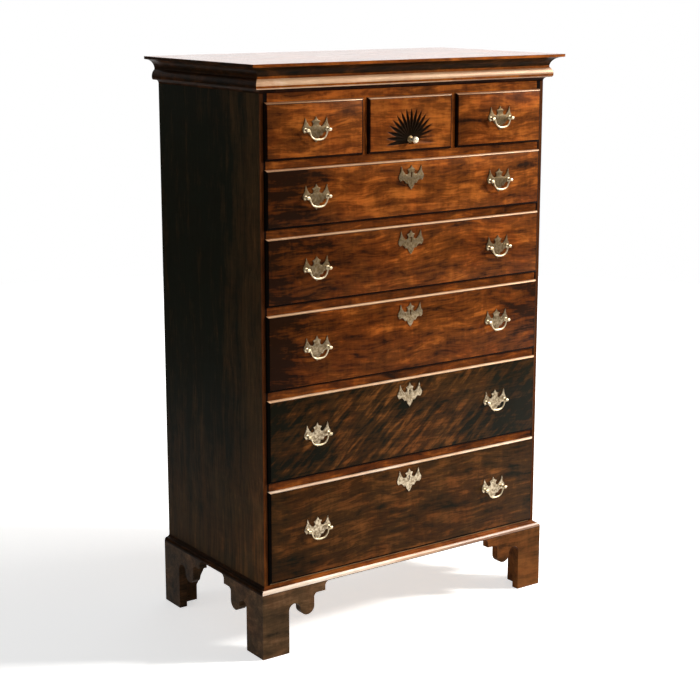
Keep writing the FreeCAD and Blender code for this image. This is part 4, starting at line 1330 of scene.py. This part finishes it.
@dataclass
class FanFront(LippedFront):
    """The small middle drawer front, with its carved fan."""

    fan_up: float = 30.0
    fan_radius: float = 80.0
    rays: int = 17
    below: float = 8.0
    eye: float = 12.0
    eye_deep: float = 5.0
    grid: float = 0.9
    ray_start: float = 11.0
    ray_bend: float = 58.0
    ray_past: float = 1.0
    deep_start: float = 5.5
    deep_bend: float = 3.0
    rim_curve: float = 1.3
    flank: float = 0.61
    # From which angle to the right the rays keep less of their painted shade, and how much less at most, as
    # where light falls into them.
    lit_rays_from: float = 0.6
    lit_rays_most: float = 0.85

    def ray_depth(self, along: float) -> float:
        """How deep the middle of a ray is.

        Args:
            along: The distance from the fan's centre.

        Returns:
            The depth.
        """
        if along < self.ray_bend:
            rise = self.deep_start - self.deep_bend
            return self.deep_start - rise * (along - self.ray_start) / (self.ray_bend - self.ray_start)
        share = (along - self.ray_bend) / (self.fan_radius + self.ray_past - self.ray_bend)
        return max(0.0, self.deep_bend * (1.0 - share**self.rim_curve))

    def hollow(self, x: float, z: float) -> float:
        """How far the carving goes in at a point.

        Args:
            x: The point's distance from the fan's centre, to the right.
            z: The point's distance from the fan's centre, up.

        Returns:
            The depth.
        """
        reach = math.hypot(x, z)
        if reach > self.fan_radius + self.ray_past:
            return 0.0
        if reach < self.eye:
            return self.eye_deep
        half = self.rays // 2
        pitch = math.radians((90.0 + self.below) / half)
        angle = math.atan2(x, z)
        off = angle - max(-half, min(half, round(angle / pitch))) * pitch
        along = reach * math.cos(off)
        aside = abs(reach * math.sin(off))
        return max(0.0, self.ray_depth(along) - aside * self.flank) if along > 0.0 else 0.0

    def face_at(self, x: float, z: float, wide: float, high: float) -> float:
        """How far the finished front stands out at a point.

        Args:
            x: The point's distance from the middle.
            z: The point's height above the front's lower edge.
            wide: The front's width.
            high: The front's height.

        Returns:
            The distance from the case.
        """
        inset = min(wide / 2 - abs(x), z, high - z)
        if inset < self.round_edge:
            drop = self.round_edge - inset
            return self.proud - self.step - self.round_edge + math.sqrt(self.round_edge**2 - drop**2)
        return self.proud - self.hollow(x, z - self.fan_up)

    def slab(self, wide: float, high: float) -> bmesh.types.BMesh:
        """The carved front's outer part, about the middle of its back.

        Args:
            wide: Its width.
            high: Its height.

        Returns:
            The closed mesh.
        """
        shape = bmesh.new()
        carved = shape.verts.layers.float.new("carved")
        columns, rows = round(wide / self.grid), round(high / self.grid)
        bmesh.ops.create_grid(shape, x_segments=columns, y_segments=rows, size=0.5)
        for vert in shape.verts:
            x = vert.co.x * wide
            z = (vert.co.y + 0.5) * high
            out = self.face_at(x, z, wide, high)
            # The carving's depth, stored for the material, drives its painted shade, which is lessened on
            # the right-hand rays that face the light.
            lit_rays = min(1.0, max(0.0, math.atan2(x, z - self.fan_up) - self.lit_rays_from))
            vert[carved] = self.hollow(x, z - self.fan_up) * MM * (1.0 - self.lit_rays_most * lit_rays)
            vert.co = (x, self.stand - out, z - high / 2)
        border = [edge for edge in shape.edges if len(edge.link_faces) == 1]
        lip = bmesh.ops.extrude_edge_only(shape, edges=border)["geom"]
        for vert in lip:
            if isinstance(vert, bmesh.types.BMVert):
                vert.co.y = 0.0
        rim = [item for item in lip if isinstance(item, bmesh.types.BMEdge) and len(item.link_faces) == 1]
        bmesh.ops.contextual_create(shape, geom=rim)
        return shape


class Section:
    """The outline of a moulding: how far it stands out and how high it is, in lines and arcs."""

    def __init__(self, reach: float, height: float) -> None:
        """Starts the outline.

        Args:
            reach: The first point's distance from the case.
            height: The first point's height.
        """
        self.points = [Vector((reach, height, 0.0))]
        self.into = [Vector((reach, height, 0.0))]
        self.out = [Vector((reach, height, 0.0))]

    def line(self, reach: float, height: float) -> "Section":
        """Adds a straight line to a point.

        Args:
            reach: The point's distance from the case.
            height: The point's height.

        Returns:
            The outline.
        """
        point = Vector((reach, height, 0.0))
        self.points.append(point)
        self.into.append(point.copy())
        self.out.append(point.copy())
        return self

    def arc(self, reach: float, height: float, radius: float, bulge: int) -> "Section":
        """Adds an arc to a point.

        Args:
            reach: The point's distance from the case.
            height: The point's height.
            radius: The arc's radius.
            bulge: One for a round, minus one for a hollow.

        Returns:
            The outline.
        """
        start = self.points[-1].copy()
        self.line(reach, height)
        chord = self.points[-1] - start
        half = math.asin(min(1.0, chord.length / 2 / radius))
        pull = 4 / 3 * math.tan(half / 2) * radius
        along = chord.normalized() * pull
        self.out[-2] = start + Matrix.Rotation(-half * bulge, 3, "Z") @ along
        self.into[-1] = self.points[-1] - Matrix.Rotation(half * bulge, 3, "Z") @ along
        return self

    def prism(self, length: float) -> bmesh.types.BMesh:
        """The outline as a solid along X, with its back on Y = 0 and its outer side towards -Y.

        Args:
            length: The solid's length.

        Returns:
            The closed mesh, about X = 0.
        """
        curve = bpy.data.curves.new("moulding", "CURVE")
        curve.dimensions = "2D"
        curve.fill_mode = "BOTH"
        curve.extrude = length / 2
        curve.resolution_u = 10
        spline = curve.splines.new("BEZIER")
        spline.bezier_points.add(len(self.points) - 1)
        spline.use_cyclic_u = True
        for point, place, into, out in zip(spline.bezier_points, self.points, self.into, self.out):
            point.handle_left_type = "FREE"
            point.handle_right_type = "FREE"
            point.co, point.handle_left, point.handle_right = place, into, out
        shape = surface(curve)
        turn = Matrix(((0.0, 0.0, 1.0), (-1.0, 0.0, 0.0), (0.0, 1.0, 0.0)))
        bmesh.ops.transform(shape, matrix=turn.to_4x4(), verts=shape.verts)
        return shape


@dataclass
class Mouldings:
    """The cornice and the base moulding, each run mitred to the next."""

    case_half: float = 442.5
    case_front: float = -222.5
    case_back: float = 262.5
    top_edge: float = 69.5
    past_top: float = 99.0

    def cornice(self) -> Section:
        """The cornice's outline, from its foot up.

        Returns:
            The outline.
        """
        section = Section(0.0, 0.0).arc(10.0, 10.0, 10.0, -1).line(16.5, 10.0).line(18.5, 13.0)
        section.arc(11.0, 36.0, 23.0, 1).line(11.0, 40.0).arc(37.0, 62.0, 26.0, -1)
        return section.line(40.0, 63.0).line(40.0, 70.0).line(0.0, 70.0)

    def base(self) -> Section:
        """The base moulding's outline, from its foot up."""
        section = Section(0.0, 0.0).line(14.8, 0.0).arc(9.3, 11.0, 11.0, 1)
        return section.line(7.8, 11.0).arc(0.0, 18.8, 7.8, -1)

    def front_run(self, section: Section) -> bmesh.types.BMesh:
        """The run along the front, mitred at both ends.

        Args:
            section: The outline.

        Returns:
            The closed mesh.
        """
        run = section.prism(2 * self.case_half)
        for vert in run.verts:
            vert.co.x += math.copysign(vert.co.y, vert.co.x)
        bmesh.ops.translate(run, vec=(0.0, self.case_front, 0.0), verts=run.verts)
        return run

    def side_run(self, section: Section, side: int) -> bmesh.types.BMesh:
        """A run along one side, mitred at its front end.

        Args:
            section: The outline.
            side: Minus one for the left, one for the right.

        Returns:
            The closed mesh.
        """
        length = self.case_back - self.case_front
        run = section.prism(length)
        for vert in run.verts:
            if vert.co.x < 0.0:
                vert.co.x += vert.co.y
        turn = Matrix.Rotation(math.radians(90.0), 3, "Z")
        bmesh.ops.rotate(run, cent=ORIGIN, matrix=turn, verts=run.verts)
        if side < 0:
            bmesh.ops.scale(run, vec=(-1.0, 1.0, 1.0), verts=run.verts)
        middle = (self.case_front + self.case_back) / 2
        bmesh.ops.translate(run, vec=(side * self.case_half, middle, 0.0), verts=run.verts)
        return run

    def bands(self, name: str, place: str) -> tuple[tuple[float, Wood], ...]:
        """The finishes of a run from its foot up: in front, painted highlights on the rounds and painted
        shade in the hollows; along the sides, painted shade under the crown.

        Args:
            name: Whether it is the cornice or the base moulding.
            place: Whether it runs along the front, the left or the right.

        Returns:
            The height at which each band ends, and its finish.
        """
        crown = (self.past_top, CROWN)
        if place != "front":
            # Along the sides the run is darkened all over as painted shade.
            side = replace(BROWN_CHERRY, grain=Grain.ALONG_Y).dimmed("side", 0.4)
            return ((self.top_edge, side), crown)
        plain = replace(CHERRY, mottle=0.6, tone=0.1)
        # In front, the lowest hollow is darkened as painted shade.
        shade_finish = CHERRY.dimmed("shade_finish", 0.12)
        if name == "base_moulding":
            # The base moulding's round takes a painted highlight that fades towards the right.
            fades = (Fade(0, -0.2, 0.4, 0.75),)
            highlight_finish = replace(PAINTED_HIGHLIGHT_EDGE, tone=0.25, tint=(1.0, 0.88, 0.8), fades=fades)
            return ((1.5, shade_finish), (10.9, highlight_finish), (self.top_edge, plain))
        # The cornice's upper cove is darkened as painted shade; its rounds take painted highlights that
        # fade towards the right.
        cove_shade = BROWN_CHERRY.dimmed("cove_shade", 0.55)
        highlight_finish = replace(PAINTED_HIGHLIGHT_EDGE, tone=-0.02, fades=(Fade(0, -0.2, 0.45, 0.42),))
        return (
            (10.0, shade_finish),
            (13.5, highlight_finish),
            (17.0, plain),
            (35.0, highlight_finish),
            (41.0, plain),
            (61.5, cove_shade),
            (self.top_edge, plain),
            crown,
        )

    def build(self) -> None:
        """Makes all six runs."""
        for name, section in (("cornice", self.cornice()), ("base_moulding", self.base())):
            runs = {
                "front": self.front_run(section),
                "left": self.side_run(section, -1),
                "right": self.side_run(section, 1),
            }
            for place, run in runs.items():
                node = f"{name}_{place}"
                low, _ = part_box(node)
                ends, woods = zip(*self.bands(name, place))
                finishes = [
                    replace(wood, name=f"{node}_band_{index}").material()
                    for index, wood in enumerate(woods)
                ]
                piece = Piece()
                piece.take(run, Vector((0.0, 0.0, low.z / MM)))
                made = piece.set_down(f"{node}_run", "root", "cherry", node, 30.0, *finishes)
                for face in made.data.polygons:
                    level = (face.center.z - low.z) / MM
                    face.material_index = next(index for index, end in enumerate(ends) if level < end)


# ---------------------------------------------------------------------------------------------
# The case and the drawers
# ---------------------------------------------------------------------------------------------


@dataclass
class Woodwork:
    """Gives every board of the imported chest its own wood, and the drawers their faces."""

    back_joints: tuple[float, ...] = (0.44, 0.6705, 0.881, 1.0685, 1.233)

    def dress(self, node: str, finish: Wood, **changes: object) -> None:
        """Puts a finish on a node.

        Args:
            node: The node.
            finish: The finish.
            **changes: Fields that differ on this board.
        """
        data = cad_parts[node].data
        data.materials.clear()
        data.materials.append(replace(finish, name=f"{node}_{finish.name}", **changes).material())
        LOG.info("%s is %s", node, finish.name)

    def case(self) -> None:
        """The case and its feet."""
        for index, side in enumerate(("left", "right")):
            shift = (0.4 * index, 0.3, 0.0)
            # The left side takes the copy darkened as painted shade, and the right side takes the lighter
            # one.
            self.dress(f"side_{side}", SHADED_SIDE_CHERRY if side == "left" else RED_SIDE, shift=shift)
            self.dress(f"divider_{side}", CHERRY, grain=Grain.ALONG_Z, shift=shift)
            base = BROWN_CHERRY if index else FOOT_CHERRY
            foot = replace(base, shift=(0.2 * index, 0.7, 0.1), mottle=0.7)
            self.dress(f"foot_front_{side}", foot, tone=0.16 * index, streaks=0.3)
            self.dress(f"foot_back_{side}", foot, tone=-0.1)
        self.dress("top_board", CROWN)
        self.dress("top_rail", CHERRY, shift=(0.5, 0.2, 0.0), tone=0.05)
        self.dress("back_boards", PINE, joints=self.back_joints)
        for node in ("bottom_board", "base_rail"):
            self.dress(node, PINE)
        for index in range(1, 6):
            self.dress(f"drawer_frame_{index}", CHERRY, shift=(0.37 * index, 0.0, 0.2), tone=-0.07)

    def drawers(self) -> None:
        """The drawers: a face with its own figure, and a pine box."""
        for drawer, wood in DRAWER_WOODS.items():
            front = FanFront() if drawer == "drawer_1_middle" else LippedFront()
            front.build(drawer, replace(wood, name=f"{drawer}_cherry"))
            self.dress(f"{drawer}_box", PINE, grain=Grain.ALONG_Y)

    def build(self) -> None:
        """Dresses the whole chest."""
        self.case()
        self.drawers()
        Mouldings().build()


# ---------------------------------------------------------------------------------------------
# The room
# ---------------------------------------------------------------------------------------------


@dataclass(frozen=True)
class Softbox:
    """An area light."""

    name: str
    place: Triple
    target: Triple
    size: Point
    power: float
    colour: Colour = (1.0, 1.0, 1.0)

    def build(self) -> None:
        """Hangs the light."""
        data = bpy.data.lights.new(self.name, "AREA")
        data.shape = "RECTANGLE"
        data.size, data.size_y = self.size
        data.energy = self.power
        data.color = self.colour
        light = bpy.data.objects.new(self.name, data)
        light.location = self.place
        aim = Vector(self.target) - Vector(self.place)
        light.rotation_euler = aim.to_track_quat("-Z", "Y").to_euler()
        light.visible_camera = False
        bpy.context.scene.collection.objects.link(light)


@dataclass
class Room:
    """The floor, the lights, the pale surroundings and the camera."""

    lens: float = 82.74
    shift: float = -0.05
    place: Triple = (-2.4495, -3.4287, 1.6601)
    yaw: float = 35.266
    pitch: float = -11.724
    world_light: float = 0.15
    floor_radius: float = 5.0
    floor_glow: tuple[float, float, float, float] = (1.2, 3.2, 0.6, 1.0)
    softboxes: tuple[Softbox, ...] = (
        Softbox("key", (3.8, -2.7, 2.9), (0.0, -0.2, 0.9), (0.45, 0.8), 262.0, (1.0, 0.97, 0.92)),
        Softbox("overhead", (2.0, -1.0, 3.2), (0.0, -0.2, 0.9), (1.2, 3.0), 100.0, (1.0, 0.97, 0.92)),
        Softbox("behind", (2.3, 3.3, 2.35), (0.0, 0.0, 1.3), (3.4, 2.6), 21.0),
        Softbox("fill", (-3.6, 1.4, 1.4), (-0.44, 0.0, 0.6), (1.6, 1.6), 14.0),
    )
    cards: tuple[tuple[str, Triple, Triple, Point], ...] = (
        ("card_left", (-1.7, 1.7, 0.7), (-0.45, 0.0, 0.9), (2.4, 1.6)),
        ("card_camera", (-3.6, -3.4, 1.2), (-0.2, -0.2, 0.9), (4.0, 3.0)),
        ("card_front", (1.4, -2.2, 0.8), (0.0, -0.2, 1.0), (2.6, 1.1)),
    )

    def camera(self) -> None:
        """Sets up the camera."""
        data = bpy.data.cameras.new("camera")
        data.lens = self.lens
        data.sensor_width = 36.0
        data.shift_y = self.shift
        camera = bpy.data.objects.new("camera", data)
        camera.location = self.place
        camera.rotation_euler = Euler((math.radians(90.0 + self.pitch), 0.0, -math.radians(self.yaw)))
        bpy.context.scene.collection.objects.link(camera)
        bpy.context.scene.camera = camera

    @staticmethod
    def seen(graph: Graph) -> bpy.types.NodeSocket:
        """One for a ray from the eye, a mirror or a glass, and nought for all others.

        Args:
            graph: The nodes.

        Returns:
            The share.
        """
        path = graph.add("LightPath")
        share = graph.math("MAXIMUM", path.outputs["Is Camera Ray"], path.outputs["Is Glossy Ray"])
        return graph.math("MAXIMUM", share, path.outputs["Is Transmission Ray"])

    @staticmethod
    def stand(name: str, shape: bmesh.types.BMesh, material: bpy.types.Material) -> bpy.types.Object:
        """Makes a mesh part of the room.

        Args:
            name: Its name.
            shape: Its mesh, which is freed.
            material: Its material.

        Returns:
            The object.
        """
        data = bpy.data.meshes.new(name)
        shape.to_mesh(data)
        shape.free()
        data.materials.append(material)
        thing = bpy.data.objects.new(name, data)
        bpy.context.scene.collection.objects.link(thing)
        return thing

    def floor(self) -> None:
        """Lays the pale floor."""
        shape = bmesh.new()
        bmesh.ops.create_circle(shape, cap_ends=True, segments=96, radius=self.floor_radius)
        graph = Graph(bpy.data.materials.new("floor_paper"))
        lit = graph.add("BsdfDiffuse")
        graph.plug(lit, "Color", (0.9, 0.9, 0.9, 1.0))
        glow = graph.add("Emission")
        reach = graph.add("VectorMath", operation="LENGTH")
        graph.plug(reach, 0, graph.object_point())
        rise = graph.spread(reach.outputs["Value"], *self.floor_glow)
        graph.plug(glow, "Strength", graph.math("MULTIPLY", self.seen(graph), rise))
        both = graph.add("AddShader")
        graph.links.new(lit.outputs[0], both.inputs[0])
        graph.links.new(glow.outputs[0], both.inputs[1])
        graph.links.new(both.outputs[0], graph.add("OutputMaterial").inputs[0])
        self.stand("floor", shape, graph.owner)

    def dark_card(self, name: str, place: Vector, aim: Vector, size: Point) -> None:
        """Stands up a dark card that only polish and metal show.

        Args:
            name: The card's name.
            place: Its middle.
            aim: The point it faces.
            size: Its width and height.
        """
        shape = bmesh.new()
        bmesh.ops.create_grid(shape, x_segments=1, y_segments=1, size=0.5)
        bmesh.ops.scale(shape, vec=(*size, 1.0), verts=shape.verts)
        turn = (aim - place).to_track_quat("Z", "Y").to_matrix()
        bmesh.ops.rotate(shape, cent=ORIGIN, matrix=turn, verts=shape.verts)
        bmesh.ops.translate(shape, vec=place, verts=shape.verts)
        graph = Graph(bpy.data.materials.new(name))
        card = self.stand(name, shape, graph.close(Base_Color=(0.01, 0.01, 0.01, 1.0), Roughness=1.0))
        card.visible_camera = False
        card.visible_diffuse = False
        card.visible_shadow = False

    def surroundings(self) -> None:
        """Makes the world white to the eye and dim as a light."""
        world = bpy.data.worlds.new("room")
        bpy.context.scene.world = world
        graph = Graph(world)
        strength = graph.add("Mix")
        for index, value in ((0, self.seen(graph)), (2, self.world_light), (3, 1.0)):
            graph.plug(strength, index, value)
        glow = graph.add("Background")
        graph.plug(glow, "Color", (1.0, 1.0, 1.0, 1.0))
        graph.plug(glow, "Strength", strength.outputs[0])
        graph.links.new(glow.outputs[0], graph.add("OutputWorld").inputs[0])

    def build(self) -> None:
        """Sets up the whole room."""
        self.camera()
        self.floor()
        self.surroundings()
        for name, place, aim, size in self.cards:
            self.dark_card(name, Vector(place), Vector(aim), size)
        for softbox in self.softboxes:
            softbox.build()
        bpy.context.scene.view_settings.view_transform = "Standard"


def main() -> None:
    """Builds the room and dresses the chest."""
    logging.basicConfig(level=logging.INFO, format="%(message)s")
    Room().build()
    Woodwork().build()
    Brasses(ANTIQUE_BRASS, PLATE_BRASS).build()


if __name__ == "__main__":
    main()
